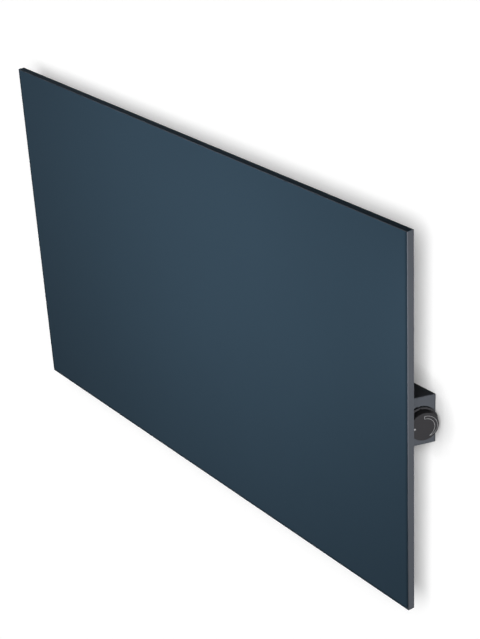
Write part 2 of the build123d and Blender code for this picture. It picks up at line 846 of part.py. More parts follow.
with BuildPart() as cutout_tabs:
    with BuildSketch(from_wall(cutout_tab_rear)):
        with Locations(
            (cutout_x - cutout_tab_offset, cutout_z),
            (cutout_x + cutout_tab_offset, cutout_z),
        ):
            Rectangle(tab_sheet, tab_width)
    extrude(amount=cutout_tab_length)
cutout_tabs.part.label = "cutout_tabs"
export_step(cutout_tabs.part, "parts/cutout_tabs.step")

# Silicone grommet where the element leads pass the housing's plate and the back plate.
grommet_flange = 2.0
grommet_wall = 2.4
with BuildPart() as lead_grommet:
    with BuildSketch(from_wall(web_inner - grommet_flange)):
        with Locations((pass_x, pass_z)):
            Rectangle(pass_width + 2 * grommet_flange, pass_height + 2 * grommet_flange)
    extrude(amount=grommet_flange)
    with BuildSketch(from_wall(web_inner)):
        with Locations((pass_x, pass_z)):
            Rectangle(pass_width, pass_height)
    extrude(amount=plate_front - web_inner)
    with BuildSketch(from_wall(web_inner - grommet_flange)):
        with Locations((pass_x, pass_z)):
            Rectangle(pass_width - 2 * grommet_wall, pass_height - 2 * grommet_wall)
    extrude(amount=plate_front - web_inner + grommet_flange, mode=Mode.SUBTRACT)
lead_grommet.part.label = "lead_grommet"
export_step(lead_grommet.part, "parts/lead_grommet.step")

# Earth stud welded to the housing's plate, and its nut over the lead's lug.
stud_radius = 2.0
stud_length = 12.0
earth_lug = 0.8
nut_radius = 4.0
nut_height = 3.2
with BuildPart() as earth_stud:
    with BuildSketch(from_wall(web_inner)):
        with Locations((earth_x, earth_z)):
            RegularPolygon(stud_radius, screw_sides)
    extrude(amount=-stud_length)
earth_stud.part.label = "earth_stud"
export_step(earth_stud.part, "parts/earth_stud.step")

with BuildPart() as earth_nut:
    with BuildSketch(from_wall(web_inner - earth_lug)):
        with Locations((earth_x, earth_z)):
            RegularPolygon(nut_radius, 6)
            RegularPolygon(stud_radius + running_gap, screw_sides, mode=Mode.SUBTRACT)
    extrude(amount=-nut_height)
earth_nut.part.label = "earth_nut"
export_step(earth_nut.part, "parts/earth_nut.step")

# Cable gland in the housing floor: body, inner locknut, sealing ring and cap nut.
gland_places = (gland_x, -gland_from_wall)
gland_hex_radius = 11.0
gland_collar = 5.0
gland_upper_length = 8.0
gland_lower_length = 7.0
gland_bore = 4.8
seal_radius = 6.5
seal_play = 0.1
locknut_radius = 11.5
locknut_height = 4.0
cap_gap = 0.5
cap_floor = 3.0
cap_edge = 2.0
collar_bottom = housing_bottom - gland_collar
thread_bottom = collar_bottom - gland_lower_length
cap_bottom = thread_bottom - cap_gap - cap_floor
with BuildPart() as gland_body:
    with BuildSketch(at_height(collar_bottom)):
        with Locations(gland_places):
            RegularPolygon(gland_hex_radius, 6)
    extrude(amount=gland_collar)
    with BuildSketch(at_height(thread_bottom)):
        with Locations(gland_places):
            RegularPolygon(gland_thread_radius, thread_sides)
    extrude(amount=gland_lower_length + gland_collar + gland_upper_length)
    with BuildSketch(at_height(thread_bottom)):
        with Locations(gland_places):
            RegularPolygon(gland_bore, thread_sides)
    extrude(amount=gland_lower_length + gland_collar + gland_upper_length, mode=Mode.SUBTRACT)
    with BuildSketch(at_height(thread_bottom)):
        with Locations(gland_places):
            RegularPolygon(seal_radius + seal_play, thread_sides)
    extrude(amount=gland_lower_length, mode=Mode.SUBTRACT)
gland_body.part.label = "gland_body"
export_step(gland_body.part, "parts/gland_body.step")

with BuildPart() as gland_locknut:
    with BuildSketch(at_height(housing_bottom + housing_sheet)):
        with Locations(gland_places):
            RegularPolygon(locknut_radius, 6)
            RegularPolygon(
                gland_thread_radius + running_gap, thread_sides, mode=Mode.SUBTRACT
            )
    extrude(amount=locknut_height)
gland_locknut.part.label = "gland_locknut"
export_step(gland_locknut.part, "parts/gland_locknut.step")

with BuildPart() as gland_seal:
    with BuildSketch(at_height(thread_bottom)):
        with Locations(gland_places):
            RegularPolygon(seal_radius, thread_sides)
            Circle(cable_radius, mode=Mode.SUBTRACT)
    extrude(amount=gland_lower_length)
gland_seal.part.label = "gland_seal"
export_step(gland_seal.part, "parts/gland_seal.step")

with BuildPart() as gland_cap:
    with BuildSketch(at_height(cap_bottom)):
        with Locations(gland_places):
            RegularPolygon(gland_hex_radius, 6)
    extrude(amount=collar_bottom - cap_gap - cap_bottom)
    chamfer(gland_cap.faces().sort_by(Axis.Z)[0].edges(), length=cap_edge)
    with BuildSketch(at_height(cap_bottom)):
        with Locations(gland_places):
            RegularPolygon(gland_bore, thread_sides)
    extrude(amount=cap_floor, mode=Mode.SUBTRACT)
    with BuildSketch(at_height(cap_bottom + cap_floor)):
        with Locations(gland_places):
            RegularPolygon(gland_thread_radius + running_gap, thread_sides)
    extrude(amount=collar_bottom - cap_bottom, mode=Mode.SUBTRACT)
gland_cap.part.label = "gland_cap"
export_step(gland_cap.part, "parts/gland_cap.step")

# ---------------------------------------------------------------- inner leads
tab_reach = 9.0  # how far a lead stands straight off its tab
lead_split = 2.4  # leads above and below the middle of the grommet
entry_top = terminal_z + block_height / 2
lead_rise = housing_top - housing_sheet - 5.0
lead_end_from_wall = cover_film_front - pad_thickness
behind_laminate = lead_end_from_wall - 4.0
live_x, neutral_x, earth_pole_x = pole_xs
upper_tab = end_point(tab_along, tab_rise, body_bottom - tab_length)
lower_tab = end_point(tab_along, -tab_rise, body_bottom - tab_length)
left_cutout_tab = Vector(cutout_x - cutout_tab_offset, -cutout_tab_rear, cutout_z)
right_cutout_tab = Vector(cutout_x + cutout_tab_offset, -cutout_tab_rear, cutout_z)

live_lead = wire(
    [
        Vector(live_x, -entry_from_wall, entry_top),
        Vector(live_x, -entry_from_wall, lead_rise),
        Vector(440, -entry_from_wall + 4, lead_rise),
        upper_tab - end_out * tab_reach,
        upper_tab,
    ],
    [6, 10, 5],
    wire_diameter,
)
live_lead.label = "live_lead"
export_step(live_lead, "parts/live_lead.step")

switched_lead = wire(
    [
        lower_tab,
        lower_tab - end_out * tab_reach,
        right_cutout_tab + Vector(12, tab_reach, -4),
        right_cutout_tab + Vector(0, tab_reach, 0),
        right_cutout_tab,
    ],
    [5, 5, 4],
    wire_diameter,
)
switched_lead.label = "switched_lead"
export_step(switched_lead, "parts/switched_lead.step")

element_lead_upper = wire(
    [
        left_cutout_tab,
        left_cutout_tab + Vector(0, tab_reach, 0),
        Vector(pass_x, -28, 20),
        Vector(pass_x, -34, pass_z + lead_split),
        Vector(pass_x, -behind_laminate, pass_z + lead_split),
        Vector(pad_x, -behind_laminate, first_row),
        Vector(pad_x, -lead_end_from_wall, first_row),
    ],
    [5, 8, 6, 3, 3],
    wire_diameter,
)
element_lead_upper.label = "element_lead_upper"
export_step(element_lead_upper, "parts/element_lead_upper.step")

element_lead_lower = wire(
    [
        Vector(neutral_x, -entry_from_wall, entry_top),
        Vector(neutral_x, -entry_from_wall, entry_top + 9),
        Vector(pass_x + 20, -entry_from_wall + 6, 16),
        Vector(pass_x, -34, pass_z - lead_split),
        Vector(pass_x, -behind_laminate, pass_z - lead_split),
        Vector(pad_x, -behind_laminate, -first_row),
        Vector(pad_x, -lead_end_from_wall, -first_row),
    ],
    [4, 8, 6, 3, 3],
    wire_diameter,
)
element_lead_lower.label = "element_lead_lower"
export_step(element_lead_lower, "parts/element_lead_lower.step")

lug_height = web_inner - earth_lug / 2 - wire_diameter / 2
earth_lead = wire(
    [
        Vector(earth_pole_x, -entry_from_wall, entry_top),
        Vector(earth_pole_x, -entry_from_wall, entry_top + 8),
        Vector(earth_x, -entry_from_wall, entry_top + 2),
        Vector(earth_x, -web_inner + 3, earth_z + 14),
        Vector(earth_x, -lug_height, earth_z + 5.2),
    ],
    [4, 6, 6],
    wire_diameter,
)
earth_lead.label = "earth_lead"
export_step(earth_lead, "parts/earth_lead.step")

# ---------------------------------------------------------------- wall rail
# Folded rail screwed to the wall; its tongues reach up behind the housing's top lip.
rail_flange = 12.0
rail_bend = 1.0
tongue_xs = (-180, -60, 60, 180)
tongue_width = 30.0
tongue_relief = 1.5
tongue_gap = 1.9  # wall plane to the tongue's rear face
tongue_top = 34.0
tongue_lead_in = 1.5
tongue_root = 17.0
joggle_start = lip_bottom - 7.0
joggle_end = lip_bottom - 1.0
rail_slot_xs = (-120, 120)
rail_slot_z = 2.0
rail_slot_length = 90.0
rail_slot_width = 18.0
with BuildPart() as wall_rail:
    with BuildSketch(Plane.YZ.offset(-rail_half_length)) as rail_section:
        with BuildLine():
            Polyline(
                (0, rail_bottom),
                (-rail_flange, rail_bottom),
                (-rail_flange, rail_bottom + rail_sheet),
                (-rail_sheet, rail_bottom + rail_sheet),
                (-rail_sheet, lip_bottom),
                (0, lip_bottom),
                close=True,
            )
        make_face()
        inner_bend = rail_section.vertices().group_by(Axis.Y)[1].sort_by(Axis.X)[-1]
        fillet(inner_bend, radius=rail_bend)
        outer_bend = rail_section.vertices().group_by(Axis.Y)[0].sort_by(Axis.X)[-1]
        fillet(outer_bend, radius=rail_bend + rail_sheet)
    extrude(amount=2 * rail_half_length)
    # notches beside the tongues, slots and screw holes
    with BuildSketch(from_wall(0)):
        with Locations(*[(x, lip_bottom) for x in tongue_xs]):
            Rectangle(tongue_width + 2 * tongue_relief, 2 * (lip_bottom - tongue_root))
        with Locations(*[(x, rail_slot_z) for x in rail_slot_xs]):
            SlotOverall(rail_slot_length, rail_slot_width)
        with GridLocations(screw_spacing_x, screw_spacing_z, 2, 2):
            Circle(wall_screw_radius)
    extrude(amount=rail_sheet, mode=Mode.SUBTRACT)
    # joggled tongues
    for x in tongue_xs:
        with BuildSketch(Plane.YZ.offset(x - tongue_width / 2)):
            with BuildLine():
                Polyline(
                    (0, tongue_root - 1),
                    (0, joggle_start),
                    (-tongue_gap, joggle_end),
                    (-tongue_gap, tongue_top - tongue_lead_in),
                    (-tongue_gap - rail_sheet / 2, tongue_top),
                    (-tongue_gap - rail_sheet, tongue_top),
                    (-tongue_gap - rail_sheet, joggle_end),
                    (-rail_sheet, joggle_start),
                    (-rail_sheet, tongue_root - 1),
                    close=True,
                )
            make_face()
        extrude(amount=tongue_width)
wall_rail.part.label = "wall_rail"
export_step(wall_rail.part, "parts/wall_rail.step")
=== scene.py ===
"""Dresses the infrared panel heater: coats and finishes for its parts, the printed marks on
its knob, its screws and its cable gland, and the plain stage that it is shown on."""

import json
from math import acos, atan2, cos, hypot, pi, radians, sin
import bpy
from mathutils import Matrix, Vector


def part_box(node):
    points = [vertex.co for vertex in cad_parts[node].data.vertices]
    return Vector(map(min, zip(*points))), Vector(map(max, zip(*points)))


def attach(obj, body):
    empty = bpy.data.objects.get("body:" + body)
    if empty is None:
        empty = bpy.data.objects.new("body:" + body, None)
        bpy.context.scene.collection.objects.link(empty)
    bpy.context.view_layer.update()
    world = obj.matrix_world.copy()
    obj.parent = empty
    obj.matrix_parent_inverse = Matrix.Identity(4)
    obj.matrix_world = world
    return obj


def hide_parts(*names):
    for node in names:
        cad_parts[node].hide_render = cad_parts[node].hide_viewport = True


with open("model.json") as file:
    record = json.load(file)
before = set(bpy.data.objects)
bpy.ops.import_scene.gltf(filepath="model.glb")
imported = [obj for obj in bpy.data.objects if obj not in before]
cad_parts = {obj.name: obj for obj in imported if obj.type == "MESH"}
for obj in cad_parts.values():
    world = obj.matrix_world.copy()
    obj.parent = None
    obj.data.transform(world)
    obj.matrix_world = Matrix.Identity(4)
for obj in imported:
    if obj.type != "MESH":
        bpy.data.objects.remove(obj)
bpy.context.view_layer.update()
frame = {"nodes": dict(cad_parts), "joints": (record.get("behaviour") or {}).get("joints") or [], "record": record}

from types import SimpleNamespace

import bmesh
import bpy
from bpy.props import FloatProperty, FloatVectorProperty, PointerProperty
from mathutils import Matrix, Vector

bl_info = {
    "name": "Infrared panel heater",
    "version": (1, 0, 0),
    "blender": (4, 5, 0),
    "location": "View3D > Sidebar > Heater",
    "description": "Dresses the panel heater with its finishes, marks, fasteners and stage",
    "category": "Object",
}

MM = 0.001

# ---------------------------------------------------------------- places on the heater
RIGHT = Vector((1, 0, 0))
TO_WALL = Vector((0, 1, 0))
UP = Vector((0, 0, 1))
END_FLARE = radians(18.0)  # slant of the housing's right end
END_OUT = Vector((cos(END_FLARE), -sin(END_FLARE), 0))
END_ALONG = Vector((sin(END_FLARE), cos(END_FLARE), 0))


def knob_place():
    """A place on the knob's axis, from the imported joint."""
    for joint in frame["joints"]:
        if joint["name"] == "thermostat_turn":
            return Vector(joint["pos_m"])
    raise RuntimeError("the packed heater has no thermostat_turn joint")


KNOB_CENTRE = knob_place()
KNOB_FACE = 14.6 * MM  # from there out to the knob's face


def on_knob(along, up, out):
    """A place from the knob's centre: along the end towards the wall, up, and out of the end."""
    return KNOB_CENTRE + END_ALONG * along + UP * up + END_OUT * out


# ---------------------------------------------------------------- settings
def colour_property(name, description, colour):
    """A colour setting."""
    return FloatVectorProperty(
        name=name, description=description, subtype="COLOR", size=3, min=0, max=1, default=colour
    )


def length_property(name, description, millimetres):
    """A length setting."""
    return FloatProperty(
        name=name,
        description=description,
        unit="LENGTH",
        min=0,
        precision=5,
        default=millimetres * MM,
    )


def power_property(name, description, watts):
    """A lamp's power setting."""
    return FloatProperty(
        name=name, description=description, unit="POWER", min=0, default=watts
    )


class HeaterColours(bpy.types.PropertyGroup):
    """Colours of the coats and plastics, as linear values."""

    front_coat: colour_property(
        "Front coat", "Powder coat on the panel's front face", (0.0372, 0.0665, 0.0960)
    )
    # painted sheen: the same powder coat as the front, made lighter and greyer to stand in for the sheen on the
    # rim's sides and the housing
    rim_coat_and_sheen: colour_property(
        "Rim coat", "Powder coat on the panel's rim and the housing", (0.091, 0.099, 0.114)
    )
    knob: colour_property("Knob", "Moulded plastic of the knob", (0.040, 0.039, 0.042))
    bezel: colour_property(
        "Bezel", "Moulded plastic of the collar round the knob", (0.046, 0.046, 0.050)
    )
    print_ink: colour_property("Printed marks", "Ink of the knob's marks", (0.34, 0.34, 0.35))
    zinc: colour_property("Zinc", "Galvanised sheet", (0.47, 0.49, 0.50))


class HeaterMarks(bpy.types.PropertyGroup):
    """Sizes of the marks printed on the knob."""

    outer_radius: length_property("Outer line", "Radius of the wedge's outer line", 18.6)
    inner_radius: length_property("Inner line", "Radius of the wedge's inner line", 14.4)
    line_width: length_property("Line width", "Width of the printed lines", 0.55)
    dot_radius: length_property("Dot", "Radius of the off dot", 1.5)
    ink_height: length_property("Ink height", "Thickness of the printed ink", 0.04)


class HeaterStage(bpy.types.PropertyGroup):
    """Stage, lamps and camera."""

    wall_size: length_property("Wall", "Width and height of the wall behind", 9000)
    floor_drop: length_property("Floor", "From the heater's middle down to the floor", 1550)
    key_power: power_property("Key lamp", "Power of the soft lamp in front", 8.7)
    side_power: power_property("Side lamp", "Power of the soft lamp at the right", 37)
    edge_power: power_property(
        "Edge lamp", "Power of the small lamp beside the panel's upper right edge", 0.11
    )
    back_power: power_property("Back lamp", "Power of the soft lamp behind the wall", 60)
    ambient: FloatProperty(
        name="Ambient", description="Strength of the light from all round", min=0, default=0.02
    )
    wall_light: FloatProperty(
        name="Wall light",
        description="Share of the wall's brightness that the heater shades",
        min=0,
        max=1,
        default=0.88,
    )
    wall_light_spread: FloatProperty(
        name="Wall light spread",
        description="Apparent size of the light on the wall",
        unit="ROTATION",
        min=0,
        max=pi,
        default=radians(50),
    )
    # reach of the painted contact shade on the wall and floor
    shadow_reach: length_property("Contact shade", "Reach of the shade next to the heater", 50)
    lens: FloatProperty(
        name="Lens", description="Focal length on a 36 mm sensor", min=1, default=86.93
    )


# ---------------------------------------------------------------- mesh helpers
SOFTENED_ANGLE = radians(35)  # edges sharper than this are rounded
HEXAGON_CORNER = 0.975  # share of a hexagon's corner radius that its dulled corners keep
WELD = 0.001 * MM  # vertices nearer to each other than this are one


def add_object(name, data):
    """Adds an object to the scene."""
    item = bpy.data.objects.new(name, data)
    bpy.context.scene.collection.objects.link(item)
    return item


def add_piece(name, mesh, body, finish, smooth=True):
    """Adds a mesh as a piece that rides on a body, with its finish."""
    piece = add_object(name, mesh)
    mesh.materials.append(finish)
    if smooth:
        mesh.shade_smooth()
    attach(piece, body)
    return piece


def bmesh_to_mesh(name, bm):
    """A mesh from edited geometry, with its faces turned outwards."""
    bmesh.ops.recalc_face_normals(bm, faces=bm.faces[:])
    mesh = bpy.data.meshes.new(name)
    bm.to_mesh(mesh)
    bm.free()
    return mesh


def soften(piece, width, segments):
    """Rounds the sharp edges of a piece and keeps its flat faces flat."""
    bevel = piece.modifiers.new("soft edges", "BEVEL")
    bevel.width = width
    bevel.segments = segments
    bevel.limit_method = "ANGLE"
    bevel.angle_limit = SOFTENED_ANGLE
    bevel.use_clamp_overlap = True
    bevel.harden_normals = False
    weighted = piece.modifiers.new("flat faces", "WEIGHTED_NORMAL")
    weighted.keep_sharp = True


def ring(bm, centre, across, upward, radius, sides):
    """One closed ring of vertices; the radius is a length or a function of the angle."""
    corners = []
    for side in range(sides):
        angle = 2 * pi * side / sides
        reach = radius(angle) if callable(radius) else radius
        corners.append(
            bm.verts.new(centre + across * (reach * cos(angle)) + upward * (reach * sin(angle)))
        )
    return corners


def bridge(bm, first, second):
    """Joins two rings of vertices by a band of faces."""
    count = len(first)
    for index in range(count):
        following = (index + 1) % count
        bm.faces.new((first[index], first[following], second[following], second[index]))


def hexagon(corner_radius, roundness):
    """Radius at each angle of a hexagon with dulled corners; roundness 1 makes it a circle."""
    flat = corner_radius * cos(pi / 6)

    def radius_at(angle):
        edge = flat / cos((angle % (pi / 3)) - pi / 6)
        dulled = min(edge, corner_radius * HEXAGON_CORNER)
        return dulled * (1 - roundness) + flat * roundness

    return radius_at


# ---------------------------------------------------------------- shader helpers
def new_finish(name):
    """A material with a surface shader; returns it with its tree and that shader."""
    finish = bpy.data.materials.new(name)
    finish.use_nodes = True
    tree = finish.node_tree
    return finish, tree, tree.nodes["Principled BSDF"]


def object_place(tree):
    """The surface's place in the object, in metres."""
    return tree.nodes.new("ShaderNodeTexCoord").outputs["Object"]


def split_place(tree):
    """That place as its X, Y and Z."""
    split = tree.nodes.new("ShaderNodeSeparateXYZ")
    tree.links.new(object_place(tree), split.inputs["Vector"])
    return split.outputs


def noise(tree, scale, detail, roughness=0.5):
    """A soft uneven value over the object, from 0 to 1."""
    texture = tree.nodes.new("ShaderNodeTexNoise")
    texture.inputs["Scale"].default_value = scale
    texture.inputs["Detail"].default_value = detail
    texture.inputs["Roughness"].default_value = roughness
    tree.links.new(object_place(tree), texture.inputs["Vector"])
    return texture.outputs["Fac"]


def calculate(tree, operation, first, second=None, clamp=False):
    """One step of arithmetic on outputs or plain numbers."""
    step = tree.nodes.new("ShaderNodeMath")
    step.operation = operation
    step.use_clamp = clamp
    for socket, value in zip(step.inputs, (first, second)):
        if isinstance(value, bpy.types.NodeSocket):
            tree.links.new(value, socket)
        elif value is not None:
            socket.default_value = value
    return step.outputs[0]


def ramp(tree, value, low, high, start=0.0, end=1.0):
    """Maps a value that runs from start to end onto the range from low to high."""
    mapping = tree.nodes.new("ShaderNodeMapRange")
    mapping.inputs["From Min"].default_value = start
    mapping.inputs["From Max"].default_value = end
    mapping.inputs["To Min"].default_value = low
    mapping.inputs["To Max"].default_value = high
    tree.links.new(value, mapping.inputs["Value"])
    return mapping.outputs["Result"]


def along_axis(tree, axis, start, end):
    """A value that runs from 0 at start to 1 at end along one of the object's axes."""
    return ramp(tree, split_place(tree)[axis], 0, 1, start, end)


def blend_colours(tree, factor, first, second):
    """A colour that passes from the first to the second; each is an output or a plain colour."""
    mix = tree.nodes.new("ShaderNodeMix")
    mix.data_type = "RGBA"
    tree.links.new(factor, mix.inputs["Factor"])
    for name, colour in (("A", first), ("B", second)):
        if isinstance(colour, bpy.types.NodeSocket):
            tree.links.new(colour, mix.inputs[name])
        else:
            mix.inputs[name].default_value = (*colour, 1)
    return mix.outputs["Result"]


def toned(colour, tone):
    """A plain colour made darker or lighter."""
    return [min(1, c * tone) for c in colour]


def tint(tree, value, colour, spread):
    """Varies a colour by a value: darker at 0, lighter at 1."""
    return blend_colours(tree, value, toned(colour, 1 - spread), toned(colour, 1 + spread))


def grain(tree, shader, value, height, strength):
    """Raises the surface by a value."""
    bump = tree.nodes.new("ShaderNodeBump")
    bump.inputs["Strength"].default_value = strength
    bump.inputs["Distance"].default_value = height
    tree.links.new(value, bump.inputs["Height"])
    tree.links.new(bump.outputs["Normal"], shader.inputs["Normal"])


def link_looks(tree, shader, colour, roughness):
    """Links a surface's colour and roughness."""
    tree.links.new(colour, shader.inputs["Base Color"])
    tree.links.new(roughness, shader.inputs["Roughness"])


# ---------------------------------------------------------------- coats
COAT_ROUGHNESS = (0.47, 0.55)
COAT_GLOSS = 0.01  # specular level
PAINTED_SHADE_TONE = 0.5  # painted shade: tone of a coat beside its folds
EDGE_LINE = 5.0 * MM  # width of the painted shade line beside the front's folds
FOLD = 1.2 * MM  # how far the front's folds reach in from its outside
FOLD_FADE = 0.24 * MM  # over which they pass into the rim
FOLD_SHADE_AND_HIGHLIGHT = (0.42, 1.35)  # painted shade low down and painted highlight high up: tones of the rim's coat on them
FOLD_CHANGE = (-0.36, 0.02)  # heights between which the painted shade passes into the painted highlight
FACE_DEPTHS = (0.04 * MM, 0.2 * MM)  # depths at which the front's face passes into its folds
TOP_LIT_TONE = 1.65  # painted light: tone of the front's coat on the rim's top, a lighter copy of it
TOP_DEPTHS = (0.2 * MM, 0.05 * MM)  # depths at which the rim passes into its top
HOUSING_FOLD = (-2.6 * MM, -1.4 * MM)  # where the housing passes into the painted shade on its folds at the wall


def powder_coat(name):
    """A fine powder coat without its colour, which the coat that uses it links."""
    finish, tree, shader = new_finish(name)
    roughness = ramp(tree, noise(tree, scale=900, detail=2), *COAT_ROUGHNESS)
    tree.links.new(roughness, shader.inputs["Roughness"])
    shader.inputs["Specular IOR Level"].default_value = COAT_GLOSS
    texture = noise(tree, scale=1600, detail=3, roughness=0.6)
    grain(tree, shader, texture, height=0.04 * MM, strength=0.5)
    return finish, tree, shader


def clouded(tree, colour):
    """A coat's colour with faint broad clouds."""
    return tint(tree, noise(tree, scale=5, detail=2), colour, spread=0.04)


def inset_from_folds(tree, half_width, bottom, depth):
    """0 at the front's left, right and lower folds, rising to 1 at a depth inside them: the mask of the painted
    shade lines.
    """
    place = split_place(tree)
    across = calculate(tree, "ABSOLUTE", place["X"])
    from_sides = ramp(tree, across, 0, 1, half_width, half_width - depth)
    from_bottom = ramp(tree, place["Z"], 0, 1, bottom, bottom + depth)
    return calculate(tree, "MINIMUM", from_sides, from_bottom)


def panel_coat(front, rim):
    """Coat of the front sheet: its face with painted shade lines beside the folds, the folds with painted shade
    and highlight, and the rim with painted sheen and a lighter painted top.
    """
    finish, tree, shader = powder_coat("panel coat")
    low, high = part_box("front_panel")
    # painted shade: dark lines on the face beside its left, right and lower folds
    inset = inset_from_folds(tree, high.x - FOLD, low.z + FOLD, EDGE_LINE)
    face = blend_colours(tree, inset, toned(front, PAINTED_SHADE_TONE), clouded(tree, front))

    # painted shade low on the folds, passing into a painted highlight high up
    height = along_axis(tree, "Z", *FOLD_CHANGE)
    fold = blend_colours(tree, height, *[toned(rim, tone) for tone in FOLD_SHADE_AND_HIGHLIGHT])
    behind_fold = along_axis(tree, "Y", low.y + FOLD, low.y + FOLD + FOLD_FADE)
    # painted sheen: the rim's sides take the lighter, greyer rim coat
    side = blend_colours(tree, behind_fold, fold, clouded(tree, rim))
    # painted light: the rim's top takes a lightened copy of the front's coat
    at_top = along_axis(tree, "Z", *[high.z - depth for depth in TOP_DEPTHS])
    side = blend_colours(tree, at_top, side, toned(front, TOP_LIT_TONE))

    behind_face = along_axis(tree, "Y", *[low.y + depth for depth in FACE_DEPTHS])
    tree.links.new(blend_colours(tree, behind_face, face, side), shader.inputs["Base Color"])
    return finish


def housing_coat(rim):
    """Coat of the housing in the rim coat with its painted sheen, with painted shade on its folds at the wall."""
    finish, tree, shader = powder_coat("housing coat")
    at_wall = along_axis(tree, "Y", *HOUSING_FOLD)
    # painted shade on the housing's folds at the wall
    colour = blend_colours(tree, at_wall, clouded(tree, rim), toned(rim, PAINTED_SHADE_TONE))
    tree.links.new(colour, shader.inputs["Base Color"])
    return finish


# ---------------------------------------------------------------- other finishes
PLASTIC_GLOSS = 0.35  # specular level
KNOB_GLOSS = 0.04
MATT = (0.5, 0.6)  # roughness of the knob, its collar and the printed ink


def moulded(
    name,
    colour,
    roughness=(0.42, 0.52),
    grain_scale=2600,
    grain_height=0.02 * MM,
    gloss=PLASTIC_GLOSS,
):
    """Moulded plastic with a fine spark-eroded grain."""
    finish, tree, shader = new_finish(name)
    link_looks(
        tree,
        shader,
        tint(tree, noise(tree, scale=60, detail=2), colour, spread=0.08),
        ramp(tree, noise(tree, scale=400, detail=2), *roughness),
    )
    shader.inputs["Specular IOR Level"].default_value = gloss
    texture = noise(tree, grain_scale, detail=2)
    grain(tree, shader, texture, grain_height, strength=0.6)
    return finish


def galvanised(name, colour):
    """Zinc-coated sheet with soft spangles and a fine grain."""
    finish, tree, shader = new_finish(name)
    spangles = tree.nodes.new("ShaderNodeTexVoronoi")
    spangles.inputs["Scale"].default_value = 140
    tree.links.new(object_place(tree), spangles.inputs["Vector"])
    split = tree.nodes.new("ShaderNodeSeparateColor")
    tree.links.new(spangles.outputs["Color"], split.inputs["Color"])
    link_looks(
        tree,
        shader,
        tint(tree, split.outputs["Red"], colour, spread=0.07),
        ramp(tree, split.outputs["Green"], low=0.36, high=0.52),
    )
    shader.inputs["Metallic"].default_value = 1.0
    grain(tree, shader, noise(tree, scale=700, detail=3), height=0.03 * MM, strength=0.35)
    return finish


def metal(name, colour, roughness=(0.25, 0.4)):
    """Plated or drawn metal with faint uneven shine."""
    finish, tree, shader = new_finish(name)
    link_looks(
        tree,
        shader,
        tint(tree, noise(tree, scale=75, detail=3), colour, spread=0.10),
        ramp(tree, noise(tree, scale=300, detail=4, roughness=0.7), *roughness),
    )
    shader.inputs["Metallic"].default_value = 1.0
    grain(tree, shader, noise(tree, scale=1500, detail=2), height=0.01 * MM, strength=0.5)
    return finish


def crinkled_foil(name, colour):
    """Bright foil with soft wrinkles."""
    finish, tree, shader = new_finish(name)
    link_looks(
        tree,
        shader,
        tint(tree, noise(tree, scale=30, detail=3), colour, spread=0.06),
        ramp(tree, noise(tree, scale=45, detail=3), low=0.16, high=0.3),
    )
    shader.inputs["Metallic"].default_value = 1.0
    wrinkles = noise(tree, scale=90, detail=4, roughness=0.6)
    grain(tree, shader, wrinkles, height=0.4 * MM, strength=0.8)
    return finish


def fibre(name, colour):
    """Pressed mineral-fibre board."""
    finish, tree, shader = new_finish(name)
    link_looks(
        tree,
        shader,
        tint(tree, noise(tree, scale=420, detail=6, roughness=0.7), colour, spread=0.25),
        ramp(tree, noise(tree, scale=90, detail=2), low=0.85, high=1.0),
    )
    fibres = noise(tree, scale=600, detail=6, roughness=0.75)
    grain(tree, shader, fibres, height=0.5 * MM, strength=0.9)
    return finish


def rubbery(name, colour, roughness=(0.4, 0.55)):
    """Rubber, silicone and wire insulation."""
    finish, tree, shader = new_finish(name)
    link_looks(
        tree,
        shader,
        tint(tree, noise(tree, scale=110, detail=2), colour, spread=0.10),
        ramp(tree, noise(tree, scale=500, detail=2), *roughness),
    )
    grain(tree, shader, noise(tree, scale=1800, detail=2), height=0.02 * MM, strength=0.5)
    return finish


def banded_insulation(name, colour, stripe):
    """Wire insulation with a second colour running along it in broad bands."""
    finish, tree, shader = new_finish(name)
    wave = tree.nodes.new("ShaderNodeTexWave")
    wave.bands_direction = "DIAGONAL"
    wave.inputs["Scale"].default_value = 60
    tree.links.new(object_place(tree), wave.inputs["Vector"])
    link_looks(
        tree,
        shader,
        blend_colours(tree, wave.outputs["Fac"], colour, stripe),
        ramp(tree, noise(tree, scale=500, detail=2), low=0.45, high=0.6),
    )
    return finish


FINISHES = {}  # by the record's slot names


